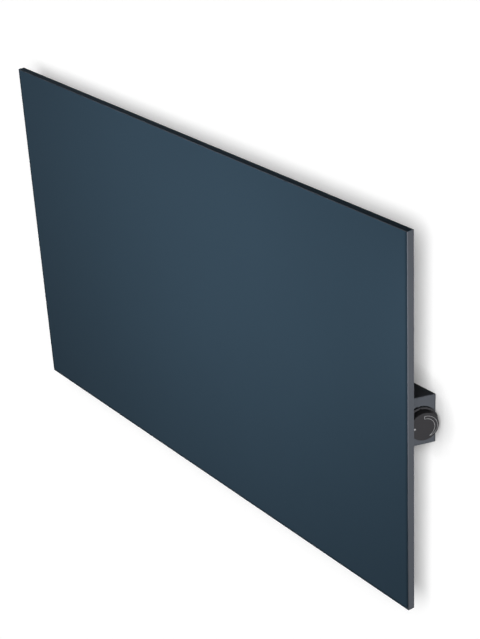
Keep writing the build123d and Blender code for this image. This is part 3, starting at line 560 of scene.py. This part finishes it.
def make_finishes(colours):
    """Makes all finishes of the heater."""
    front = tuple(colours.front_coat)
    rim = tuple(colours.rim_coat_and_sheen)
    knob = tuple(colours.knob)
    bezel = tuple(colours.bezel)
    FINISHES.update(
        panel_coat=panel_coat(front, rim),
        housing_coat=housing_coat(rim),
        galvanised=galvanised("galvanised sheet", tuple(colours.zinc)),
        zinc_steel=metal("zinc-plated steel", (0.66, 0.67, 0.68)),
        spring_steel=metal("spring steel", (0.50, 0.51, 0.53), roughness=(0.15, 0.28)),
        foil=crinkled_foil("reflector foil", (0.82, 0.82, 0.83)),
        film=moulded(
            "laminate film",
            (0.62, 0.34, 0.09),
            roughness=(0.2, 0.3),
            grain_scale=300,
            grain_height=0.04 * MM,
            gloss=0.5,
        ),
        track_alloy=metal("heating track alloy", (0.42, 0.40, 0.37)),
        copper=metal("copper", (0.80, 0.42, 0.27)),
        brass=metal("brass", (0.76, 0.58, 0.27)),
        fibre_board=fibre("mineral-fibre board", (0.66, 0.60, 0.47)),
        knob_plastic=moulded("knob plastic", knob, MATT, gloss=KNOB_GLOSS),
        bezel_plastic=moulded("bezel plastic", bezel, MATT, gloss=KNOB_GLOSS),
        gland_plastic=moulded(
            "gland polyamide", (0.022, 0.022, 0.024), roughness=(0.45, 0.6)
        ),
        switch_plastic=moulded("switch moulding", (0.70, 0.66, 0.55), roughness=(0.5, 0.65)),
        terminal_plastic=moulded("terminal moulding", (0.72, 0.71, 0.67)),
        lever_plastic=moulded("lever moulding", (0.72, 0.19, 0.02)),
        bakelite=moulded("phenolic moulding", (0.060, 0.030, 0.020), roughness=(0.3, 0.42)),
        grommet_silicone=rubbery(
            "grommet silicone", (0.40, 0.075, 0.045), roughness=(0.55, 0.7)
        ),
        seal_rubber=rubbery("seal rubber", (0.018, 0.018, 0.018), roughness=(0.7, 0.85)),
        wire_brown=rubbery("brown insulation", (0.11, 0.040, 0.018)),
        wire_blue=rubbery("blue insulation", (0.020, 0.085, 0.34)),
        wire_earth=banded_insulation("earth insulation", (0.52, 0.50, 0.03), (0.03, 0.25, 0.06)),
    )


def node_slots():
    """The material slot of every node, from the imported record."""
    return {part["node"]: part["material_slot"] for part in frame["record"]["subparts"]}


# ---------------------------------------------------------------- the parts' finishes and edges
class HEATER_OT_finish_nodes(bpy.types.Operator):
    """Gives every part of the heater its finish"""

    bl_idname = "heater.finish_nodes"
    bl_label = "Finish the parts"

    def execute(self, context):
        make_finishes(context.scene.heater_colours)
        slots = node_slots()
        for name, node in frame["nodes"].items():
            node.data.materials.clear()
            node.data.materials.append(FINISHES[slots[name]])
        return {"FINISHED"}


SOFT_EDGES = {  # width in millimetres and number of segments
    "control_bezel": (0.25, 2),
    "knob": (0.30, 2),
    "wall_rail": (0.30, 2),
    "control_cover": (0.25, 1),
    "compartment_divider": (0.20, 1),
    "gland_body": (0.35, 2),
    "lead_grommet": (0.40, 2),
    "terminal_block": (0.35, 2),
    "terminal_levers": (0.40, 2),
    "thermostat_body": (0.40, 2),
    "cutout_body": (0.35, 2),
}


class HEATER_OT_soften_edges(bpy.types.Operator):
    """Rounds the edges of the moulded parts and the cut edges of the sheet parts"""

    bl_idname = "heater.soften_edges"
    bl_label = "Soften the edges"

    def execute(self, context):
        for name, (width, segments) in SOFT_EDGES.items():
            soften(frame["nodes"][name], width * MM, segments)
        return {"FINISHED"}


# ---------------------------------------------------------------- printed marks
# Places run along the housing's end towards the wall, and up, from the knob's axis.
WEDGE_CENTRE = (0.8 * MM, -2.0 * MM)
THICK_END = -0.5 * MM
TIP = (7.2 * MM, -15.5 * MM)
OUTER_TURN = radians(-10)  # where the outer line leaves its circle for the tip
INNER_TURN = radians(-42)
OUTER_BEND = 1.3  # how late the outer line turns in towards the tip
INNER_BEND = 1.0
MARK_STEPS = 72
DOT_PLACE = (-15.2 * MM, -1.0 * MM)
DOT_SIDES = 32


def flat_strip(bm, line, width, base, top):
    """A raised strip of even width along a line on the knob's face."""
    rails = []
    count = len(line)
    for index, point in enumerate(line):
        before = line[max(0, index - 1)]
        after = line[min(count - 1, index + 1)]
        run = (Vector(after) - Vector(before)).normalized()
        side = Vector((-run.y, run.x)) * (width / 2)
        corners = []
        for offset in (side, -side):
            for height in (base, top):
                place = on_knob(point[0] + offset.x, point[1] + offset.y, height)
                corners.append(bm.verts.new(place))
        rails.append(corners)
    for first, second in zip(rails, rails[1:]):
        for a, b in ((0, 1), (1, 3), (3, 2), (2, 0)):
            bm.faces.new((first[a], first[b], second[b], second[a]))
    for end in (rails[0], rails[-1]):
        bm.faces.new((end[0], end[1], end[3], end[2]))


def arc_to_tip(radius, turn, bend):
    """Points from the wedge's thick end round to its tip, leaving the circle after the turn."""
    across, upward = WEDGE_CENTRE
    start = acos((THICK_END - across) / radius)
    end = atan2(TIP[1] - upward, TIP[0] - across)
    tip_radius = hypot(TIP[0] - across, TIP[1] - upward)
    line = []
    for step in range(MARK_STEPS + 1):
        angle = start + (end - start) * step / MARK_STEPS
        late = max(0, turn - angle) / (turn - end)
        reach = radius + (tip_radius - radius) * late**bend
        line.append((across + reach * cos(angle), upward + reach * sin(angle)))
    return line


class HEATER_OT_print_marks(bpy.types.Operator):
    """Prints the temperature wedge and the off dot on the knob"""

    bl_idname = "heater.print_marks"
    bl_label = "Print the knob's marks"

    def execute(self, context):
        marks = context.scene.heater_marks
        base = KNOB_FACE - marks.ink_height
        top = KNOB_FACE + marks.ink_height
        ink = moulded("printed ink", tuple(context.scene.heater_colours.print_ink), MATT)
        outer = arc_to_tip(marks.outer_radius, OUTER_TURN, OUTER_BEND)
        inner = arc_to_tip(marks.inner_radius, INNER_TURN, INNER_BEND)
        bm = bmesh.new()
        for line in (outer, inner, [inner[0], outer[0]]):
            flat_strip(bm, line, marks.line_width, base, top)
        add_piece("knob_wedge_print", bmesh_to_mesh("knob_wedge_print", bm), "knob", ink, False)

        bm = bmesh.new()
        lower, upper = [
            ring(bm, on_knob(*DOT_PLACE, out), END_ALONG, UP, marks.dot_radius, DOT_SIDES)
            for out in (base, top)
        ]
        bridge(bm, lower, upper)
        bm.faces.new(upper)
        bm.faces.new(lower[::-1])
        add_piece("knob_off_dot", bmesh_to_mesh("knob_off_dot", bm), "knob", ink, False)
        return {"FINISHED"}


# ---------------------------------------------------------------- screws
COVER_SCREW = SimpleNamespace(
    head_radius=2.7 * MM,
    head_height=1.8 * MM,
    flange_radius=3.0 * MM,
    flange_height=0.35 * MM,
    shank_radius=1.45 * MM,
    shank_length=9.0 * MM,
)
COVER_RECESS = SimpleNamespace(reach=1.5 * MM, width=0.55 * MM, depth=1.1 * MM)
PLATE_SCREW = SimpleNamespace(
    head_radius=3.2 * MM,
    head_height=2.4 * MM,
    flange_radius=4.0 * MM,
    flange_height=0.7 * MM,
    shank_radius=2.0 * MM,
    shank_length=6.0 * MM,
)
PLATE_RECESS = SimpleNamespace(reach=1.7 * MM, width=0.65 * MM, depth=1.3 * MM)
RECESS_TAPER = 0.55  # reach of a recess at its bottom, as a share of that at its top
CUTTER_RISE = 0.2 * MM  # how far the recess cutter stands out of the head
SCREW_SIDES = 48
SHANK_TIP = (0.55, 0.6)  # radius and height of the shank's tapered end, in shank radii
FLANGE_EDGE = (0.96, 0.6)  # the washer face's upper radius and edge height, as shares of its own
HEAD_FOOT = 1.15  # height of the head's foot, in washer heights
HEXAGON_FLATS = 0.86  # height of a hexagon's flats, as a share of the head's
HEXAGON_BEVEL = ((0.86, 0.97), (0.72, 1.0))  # above them: shares of the head's radius and height
DOME_STEPS = (0.25, 0.5, 0.75, 0.92)  # shares of a quarter turn
DOME_FULLNESS = 0.45  # the lower, the fuller the dome of a round head
SCREW_SHARP = radians(32)  # edges sharper than this stay sharp in the shading


def cross_cutter(centre, normal, recess, top):
    """Two crossing tapered bars that cut the recess of a screw head."""
    across = normal.orthogonal().normalized()
    along = normal.cross(across)
    bm = bmesh.new()
    for first, second in ((across, along), (along, -across)):
        corners = []
        for height, scale in ((top, 1.0), (top - recess.depth, RECESS_TAPER)):
            for u, v in ((1, 1), (-1, 1), (-1, -1), (1, -1)):
                corners.append(
                    bm.verts.new(
                        centre
                        + first * (u * recess.reach * scale)
                        + second * (v * recess.width / 2)
                        + normal * height
                    )
                )
        bm.faces.new(corners[:4])
        bm.faces.new(corners[4:][::-1])
        bridge(bm, corners[:4], corners[4:])
    return bmesh_to_mesh("recess cutter", bm)


def head_rings(sizes, hexagonal):
    """Radius and height of each ring of a screw's head, from its foot to its top."""
    foot = sizes.flange_height * HEAD_FOOT
    if hexagonal:
        flats = hexagon(sizes.head_radius, 0)
        rings = [(flats, foot), (flats, sizes.head_height * HEXAGON_FLATS)]
        for radius, height in HEXAGON_BEVEL:
            rings.append((sizes.head_radius * radius, sizes.head_height * height))
        return rings
    rings = [(sizes.head_radius, foot)]
    rise = sizes.head_height - sizes.flange_height
    for step in DOME_STEPS:
        radius = sizes.head_radius * cos(step * pi / 2) ** DOME_FULLNESS
        rings.append((radius, sizes.flange_height + rise * sin(step * pi / 2)))
    return rings


def screw_mesh(seat, normal, sizes, hexagonal):
    """Shank, washer face and head of one screw, which sits at its seat and faces the normal."""
    across = normal.orthogonal().normalized()
    upward = normal.cross(across)
    tip_radius, tip_height = SHANK_TIP
    edge_radius, edge_height = FLANGE_EDGE
    profile = [
        (sizes.shank_radius * tip_radius, -sizes.shank_length),
        (sizes.shank_radius, -sizes.shank_length + sizes.shank_radius * tip_height),
        (sizes.shank_radius, 0),
        (sizes.flange_radius, 0),
        (sizes.flange_radius, sizes.flange_height * edge_height),
        (sizes.flange_radius * edge_radius, sizes.flange_height),
        *head_rings(sizes, hexagonal),
    ]
    bm = bmesh.new()
    rings = [
        ring(bm, seat + normal * height, across, upward, radius, SCREW_SIDES)
        for radius, height in profile
    ]
    for first, second in zip(rings, rings[1:]):
        bridge(bm, first, second)
    bm.faces.new(rings[0][::-1])
    bm.faces.new(rings[-1])
    return bmesh_to_mesh("screw", bm)


def cut(mesh, cutter_mesh):
    """The mesh with the cutter taken away."""
    body = add_object("cut body", mesh)
    cutter = add_object("cut tool", cutter_mesh)
    boolean = body.modifiers.new("recess", "BOOLEAN")
    boolean.operation = "DIFFERENCE"
    boolean.solver = "EXACT"
    boolean.use_self = True  # the cutter's bars cross
    boolean.object = cutter
    bpy.context.view_layer.update()
    result = bpy.data.meshes.new_from_object(
        body.evaluated_get(bpy.context.evaluated_depsgraph_get())
    )
    for item in (body, cutter):
        bpy.data.objects.remove(item)
    return result


def joined(name, meshes):
    """One mesh from several."""
    bm = bmesh.new()
    for mesh in meshes:
        bm.from_mesh(mesh)
    result = bpy.data.meshes.new(name)
    bm.to_mesh(result)
    bm.free()
    return result


def node_islands(name):
    """Boxes of a node's separate solids, each as its lowest and highest corner, in order."""
    bm = bmesh.new()
    bm.from_mesh(frame["nodes"][name].data)
    bmesh.ops.remove_doubles(bm, verts=bm.verts[:], dist=WELD)
    left = set(bm.verts)
    boxes = []
    while left:
        seed = left.pop()
        stack, island = [seed], [seed]
        while stack:
            for edge in stack.pop().link_edges:
                for vertex in edge.verts:
                    if vertex in left:
                        left.discard(vertex)
                        stack.append(vertex)
                        island.append(vertex)
        low = Vector([min(v.co[axis] for v in island) for axis in range(3)])
        high = Vector([max(v.co[axis] for v in island) for axis in range(3)])
        boxes.append((low, high))
    bm.free()
    return sorted(boxes, key=lambda box: tuple(box[0]))


def wallward_screws(name, sizes, hexagonal, recess):
    """Screws whose heads face the wall, one for each solid of a node."""
    meshes = []
    for low, high in node_islands(name):
        seat = Vector(((low.x + high.x) / 2, high.y - sizes.head_height, (low.z + high.z) / 2))
        mesh = screw_mesh(seat, TO_WALL, sizes, hexagonal)
        tool = cross_cutter(seat, TO_WALL, recess, sizes.head_height + CUTTER_RISE)
        meshes.append(cut(mesh, tool))
    return joined(name + "_dressed", meshes)


class HEATER_OT_dress_screws(bpy.types.Operator):
    """Replaces the plain screws by ones with washer faces and cross recesses"""

    bl_idname = "heater.dress_screws"
    bl_label = "Dress the screws"

    def execute(self, context):
        steel = FINISHES["zinc_steel"]
        for node, name, sizes, hexagonal, recess in (
            ("cover_screws", "cover_screw_heads", COVER_SCREW, False, COVER_RECESS),
            ("housing_screws", "plate_screw_heads", PLATE_SCREW, True, PLATE_RECESS),
        ):
            mesh = wallward_screws(node, sizes, hexagonal, recess)
            piece = add_piece(name, mesh, "heater", steel, True)
            mesh.set_sharp_from_angle(angle=SCREW_SHARP)
            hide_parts(node)
        return {"FINISHED"}


# ---------------------------------------------------------------- cable gland
NUT_BORE = 4.8 * MM  # radius, as the next two
NUT_MOUTH = NUT_BORE * 1.06
NUT_THREAD = 8.05 * MM
NUT_MOUTH_DEPTH = 0.06  # as a share of the nut's height
NUT_FLOOR = 3.0 * MM  # thickness of the nut's lower end
NUT_SIDES = 96
NUT_SHARP = radians(28)  # edges sharper than this stay sharp in the shading
NUT_OUTSIDE = (  # upwards: shares of the corner radius and of the height, and roundness
    (0.60, 0.01, 1.0),
    (0.72, 0.07, 1.0),
    (0.82, 0.17, 0.8),
    (0.91, 0.29, 0.45),
    (0.98, 0.42, 0.12),
    (1.0, 0.55, 0.0),
    (1.0, 0.93, 0.0),
    (0.97, 1.0, 0.15),
)


class HEATER_OT_dress_gland(bpy.types.Operator):
    """Replaces the gland's plain cap by a domed hexagonal cap nut"""

    bl_idname = "heater.dress_gland"
    bl_label = "Dress the cable gland"

    def execute(self, context):
        low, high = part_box("gland_cap")
        centre = Vector(((low.x + high.x) / 2, (low.y + high.y) / 2, 0))
        corner = (high.x - low.x) / 2
        height = high.z - low.z
        profile = [(NUT_BORE, height * NUT_MOUTH_DEPTH), (NUT_MOUTH, 0)]
        for share, level, roundness in NUT_OUTSIDE:
            profile.append((hexagon(corner * share, roundness), height * level))
        profile += [(NUT_THREAD, height), (NUT_THREAD, NUT_FLOOR), (NUT_BORE, NUT_FLOOR)]
        bm = bmesh.new()
        rings = [
            ring(bm, centre + UP * (low.z + level), RIGHT, TO_WALL, radius, NUT_SIDES)
            for radius, level in profile
        ]
        for first, second in zip(rings, rings[1:] + rings[:1]):
            bridge(bm, first, second)
        mesh = bmesh_to_mesh("gland_cap_nut", bm)
        plastic = FINISHES["gland_plastic"]
        piece = add_piece("gland_cap_nut", mesh, "heater", plastic, True)
        mesh.set_sharp_from_angle(angle=NUT_SHARP)
        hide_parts("gland_cap")
        return {"FINISHED"}


# ---------------------------------------------------------------- wall and floor
WALL_WHITE = 0.93  # how white the paint of the wall and the floor is
WALL_LEVEL = 1.01  # brightness of the open wall
FLOOR_LEVEL = 0.97  # and of the open floor
WALL_LIGHT_FROM = Vector((0.9, -1.0, 0.6))
WALL_GAP = 0.4 * MM  # between the heater's back and the wall
CONTACT_SHADE_LEVEL = 0.62  # brightness of the painted shade on the wall right beside the heater
CONTACT_CLEAR = 0.94  # openness of the wall at which its contact shade ends
CONTACT_STEEPNESS = 4.0  # how fast the shade fades with the openness
CONTACT_SAMPLES = 16


def seen_rays(tree):
    """1 for camera, glossy and transmission rays before any diffuse bounce, 0 for the rest."""
    paths = tree.nodes.new("ShaderNodeLightPath").outputs
    seen = paths["Is Camera Ray"]
    for ray in ("Is Glossy Ray", "Is Transmission Ray"):
        seen = calculate(tree, "MAXIMUM", seen, paths[ray])
    return calculate(tree, "SUBTRACT", seen, paths["Diffuse Depth"], clamp=True)


def painted_contact_shade(tree, reach):
    """Painted shade in the wall's paint: a little darker close to the heater."""
    nearness = tree.nodes.new("ShaderNodeAmbientOcclusion")
    nearness.samples = CONTACT_SAMPLES
    nearness.inputs["Distance"].default_value = reach
    openness = ramp(tree, nearness.outputs["AO"], 0, 1, end=CONTACT_CLEAR)
    steep = calculate(tree, "POWER", openness, CONTACT_STEEPNESS)
    return ramp(tree, steep, CONTACT_SHADE_LEVEL, 1.0)


def mix_shaders(tree, factor, first, second):
    """The first shader where the factor is 0, the second where it is 1."""
    mix = tree.nodes.new("ShaderNodeMixShader")
    for socket, output in zip(mix.inputs, (factor, first, second)):
        tree.links.new(output, socket)
    return mix.outputs[0]


def stage_finish(name, own_glow, reach):
    """White paint that keeps the heater's soft shadow, with a painted shade close to the heater, and is open from
    behind.
    """
    finish = bpy.data.materials.new(name)
    finish.use_nodes = True
    tree = finish.node_tree
    tree.nodes.clear()
    output = tree.nodes.new("ShaderNodeOutputMaterial")
    # painted shade: the paint and its glow darken close to the heater
    tone = painted_contact_shade(tree, reach)
    diffuse = tree.nodes.new("ShaderNodeBsdfDiffuse")
    tree.links.new(ramp(tree, tone, 0.0, WALL_WHITE), diffuse.inputs["Color"])
    glow = tree.nodes.new("ShaderNodeEmission")
    tree.links.new(ramp(tree, tone, 0.0, own_glow), glow.inputs["Strength"])
    lit = tree.nodes.new("ShaderNodeAddShader")
    tree.links.new(diffuse.outputs[0], lit.inputs[0])
    tree.links.new(glow.outputs[0], lit.inputs[1])
    mirrored = tree.nodes.new("ShaderNodeEmission").outputs[0]
    by_camera = tree.nodes.new("ShaderNodeLightPath").outputs["Is Camera Ray"]
    paint = mix_shaders(tree, by_camera, mirrored, lit.outputs[0])
    clear = tree.nodes.new("ShaderNodeBsdfTransparent").outputs[0]
    from_behind = tree.nodes.new("ShaderNodeNewGeometry").outputs["Backfacing"]
    shown = calculate(tree, "SUBTRACT", seen_rays(tree), from_behind, clamp=True)
    tree.links.new(mix_shaders(tree, shown, clear, paint), output.inputs["Surface"])
    return finish


def stage_plane(name, corners, finish):
    """Adds a flat part of the stage."""
    bm = bmesh.new()
    bm.faces.new([bm.verts.new(corner) for corner in corners])
    mesh = bpy.data.meshes.new(name)
    bm.to_mesh(mesh)
    bm.free()
    mesh.materials.append(finish)
    plane = add_object(name, mesh)
    return plane


def set_wall_and_floor(settings):
    """Adds the wall and the floor, and returns them."""
    half = settings.wall_size / 2
    floor = -settings.floor_drop
    share = settings.wall_light
    wall = stage_plane(
        "wall",
        [(x, WALL_GAP, z) for x, z in ((-half, floor), (half, floor), (half, half), (-half, half))],
        stage_finish("wall paint", WALL_LEVEL - share, settings.shadow_reach),
    )
    slope = WALL_LIGHT_FROM.z / -WALL_LIGHT_FROM.y
    ground = stage_plane(
        "floor",
        [
            (x, y, floor)
            for x, y in ((-half, -half), (half, -half), (half, WALL_GAP), (-half, WALL_GAP))
        ],
        stage_finish("floor paint", FLOOR_LEVEL - share * slope, settings.shadow_reach),
    )
    return wall, ground


# ---------------------------------------------------------------- lamps
# Places and sizes are in metres.
KEY_LAMP = SimpleNamespace(
    name="key lamp", place=(0.165, -0.95, 0.20), target=(-0.9, 0, 0.5), width=0.7, height=0.6
)
SIDE_LAMP = SimpleNamespace(
    name="side lamp", place=(2.3, -0.75, 0.0), target=(0.5, 0, 0), width=0.8, height=0.4
)
EDGE_LAMP = SimpleNamespace(
    name="edge lamp",
    place=(0.60, -0.20, 0.17),
    target=(0.44, -0.06, 0.17),
    width=0.06,
    height=0.22,
)
BACK_LAMP = SimpleNamespace(
    name="back lamp", place=(0.0, 2.1, -1.5), target=(0, 0, 0), width=2.4, height=1.0
)


def light_group(name, planes, state):
    """A group of stage planes that a lamp is kept to or kept off."""
    group = bpy.data.collections.new(name)
    for plane in planes:
        group.objects.link(plane)
    for item in group.collection_objects:
        item.light_linking.link_state = state
    return group


def soft_lamp(plan, power, reached):
    """A broad lamp that reaches only what its group says; returns its light."""
    lamp = bpy.data.lights.new(plan.name, "AREA")
    lamp.shape = "RECTANGLE"
    lamp.size = plan.width
    lamp.size_y = plan.height
    lamp.energy = power
    holder = add_object(plan.name, lamp)
    holder.location = plan.place
    aim = Vector(plan.target) - Vector(plan.place)
    holder.rotation_euler = aim.to_track_quat("-Z", "Y").to_euler()
    holder.visible_camera = False
    holder.light_linking.receiver_collection = reached
    return lamp


def give_direct_light_only(lamp):
    """Keeps a lamp's light from being passed on by the surfaces that it reaches."""
    lamp.use_nodes = True
    tree = lamp.node_tree
    bounces = tree.nodes.new("ShaderNodeLightPath").outputs["Diffuse Depth"]
    direct = calculate(tree, "SUBTRACT", 1.0, bounces, clamp=True)
    tree.links.new(direct, tree.nodes["Emission"].inputs["Strength"])


def wall_lamp(name, share, spread, reached):
    """A wide soft light on the wall and floor alone, for the heater's shadow."""
    lamp = bpy.data.lights.new(name, "SUN")
    slant = WALL_LIGHT_FROM.normalized().dot(-TO_WALL)
    lamp.energy = pi * share / (slant * WALL_WHITE)
    lamp.angle = spread
    holder = add_object(name, lamp)
    holder.location = WALL_LIGHT_FROM
    holder.rotation_euler = (-WALL_LIGHT_FROM).to_track_quat("-Z", "Y").to_euler()
    holder.light_linking.receiver_collection = reached


def set_lamps(settings, planes):
    """Adds the lamps on the heater alone and the light on the wall and floor alone."""
    heater_only = light_group("lit by the wall light alone", planes, "EXCLUDE")
    stage_only = light_group("wall and floor", planes, "INCLUDE")
    soft_lamp(KEY_LAMP, settings.key_power, heater_only)
    soft_lamp(SIDE_LAMP, settings.side_power, heater_only)
    soft_lamp(EDGE_LAMP, settings.edge_power, heater_only)
    give_direct_light_only(soft_lamp(BACK_LAMP, settings.back_power, heater_only))
    wall_lamp("wall light", settings.wall_light, settings.wall_light_spread, stage_only)


def set_surroundings(scene, ambient):
    """A faint light from all round that looks white to the camera and in reflections."""
    world = bpy.data.worlds.new("studio")
    world.use_nodes = True
    tree = world.node_tree
    background = tree.nodes["Background"]
    background.inputs["Color"].default_value = (1, 1, 1, 1)
    strength = ramp(tree, seen_rays(tree), ambient, 1.0)
    tree.links.new(strength, background.inputs["Strength"])
    scene.world = world


# ---------------------------------------------------------------- camera
CAMERA_PLACE = Vector((1.8468, -1.3018, 1.0908))
CAMERA_FORWARD = Vector((-0.72692, 0.52341, -0.44456))
CAMERA_DOWN = Vector((0.32704, -0.30538, -0.89431))
CAMERA_REACH = 50  # metres that it sees
SENSOR_WIDTH = 36  # millimetres


def set_camera(scene, lens):
    """Adds the camera and makes it the scene's."""
    camera = bpy.data.cameras.new("camera")
    camera.sensor_width = SENSOR_WIDTH
    camera.lens = lens
    camera.clip_end = CAMERA_REACH
    right = CAMERA_DOWN.cross(CAMERA_FORWARD).normalized()
    backward = -CAMERA_FORWARD.normalized()
    upward = backward.cross(right)
    turn = Matrix((right, upward, backward)).transposed()
    holder = add_object("camera", camera)
    holder.matrix_world = Matrix.Translation(CAMERA_PLACE) @ turn.to_4x4()
    scene.camera = holder


class HEATER_OT_set_stage(bpy.types.Operator):
    """Sets the wall, the floor, the soft lamps and the camera"""

    bl_idname = "heater.set_stage"
    bl_label = "Set the stage"

    def execute(self, context):
        scene = context.scene
        settings = scene.heater_stage
        planes = set_wall_and_floor(settings)
        set_lamps(settings, planes)
        set_surroundings(scene, settings.ambient)
        set_camera(scene, settings.lens)
        scene.view_settings.view_transform = "Standard"
        return {"FINISHED"}


# ---------------------------------------------------------------- add-on
OPERATORS = (
    HEATER_OT_finish_nodes,
    HEATER_OT_soften_edges,
    HEATER_OT_print_marks,
    HEATER_OT_dress_screws,
    HEATER_OT_dress_gland,
    HEATER_OT_set_stage,
)


class HEATER_PT_sidebar(bpy.types.Panel):
    """Lists the settings and the steps that dress the heater"""

    bl_idname = "HEATER_PT_sidebar"
    bl_label = "Panel heater"
    bl_space_type = "VIEW_3D"
    bl_region_type = "UI"
    bl_category = "Heater"

    def draw(self, context):
        layout = self.layout
        for group in (
            context.scene.heater_colours,
            context.scene.heater_marks,
            context.scene.heater_stage,
        ):
            box = layout.box()
            for name in group.bl_rna.properties.keys():
                if name not in ("rna_type", "name"):
                    box.prop(group, name)
        for operator in OPERATORS:
            layout.operator(operator.bl_idname)


CLASSES = (HeaterColours, HeaterMarks, HeaterStage, *OPERATORS, HEATER_PT_sidebar)


def register():
    for item in CLASSES:
        bpy.utils.register_class(item)
    bpy.types.Scene.heater_colours = PointerProperty(type=HeaterColours)
    bpy.types.Scene.heater_marks = PointerProperty(type=HeaterMarks)
    bpy.types.Scene.heater_stage = PointerProperty(type=HeaterStage)


def unregister():
    del bpy.types.Scene.heater_stage
    del bpy.types.Scene.heater_marks
    del bpy.types.Scene.heater_colours
    for item in reversed(CLASSES):
        bpy.utils.unregister_class(item)


def main():
    """Registers the add-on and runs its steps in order."""
    register()
    bpy.ops.heater.finish_nodes()
    bpy.ops.heater.soften_edges()
    bpy.ops.heater.print_marks()
    bpy.ops.heater.dress_screws()
    bpy.ops.heater.dress_gland()
    bpy.ops.heater.set_stage()
    bpy.context.view_layer.update()


if __name__ == "__main__":
    main()
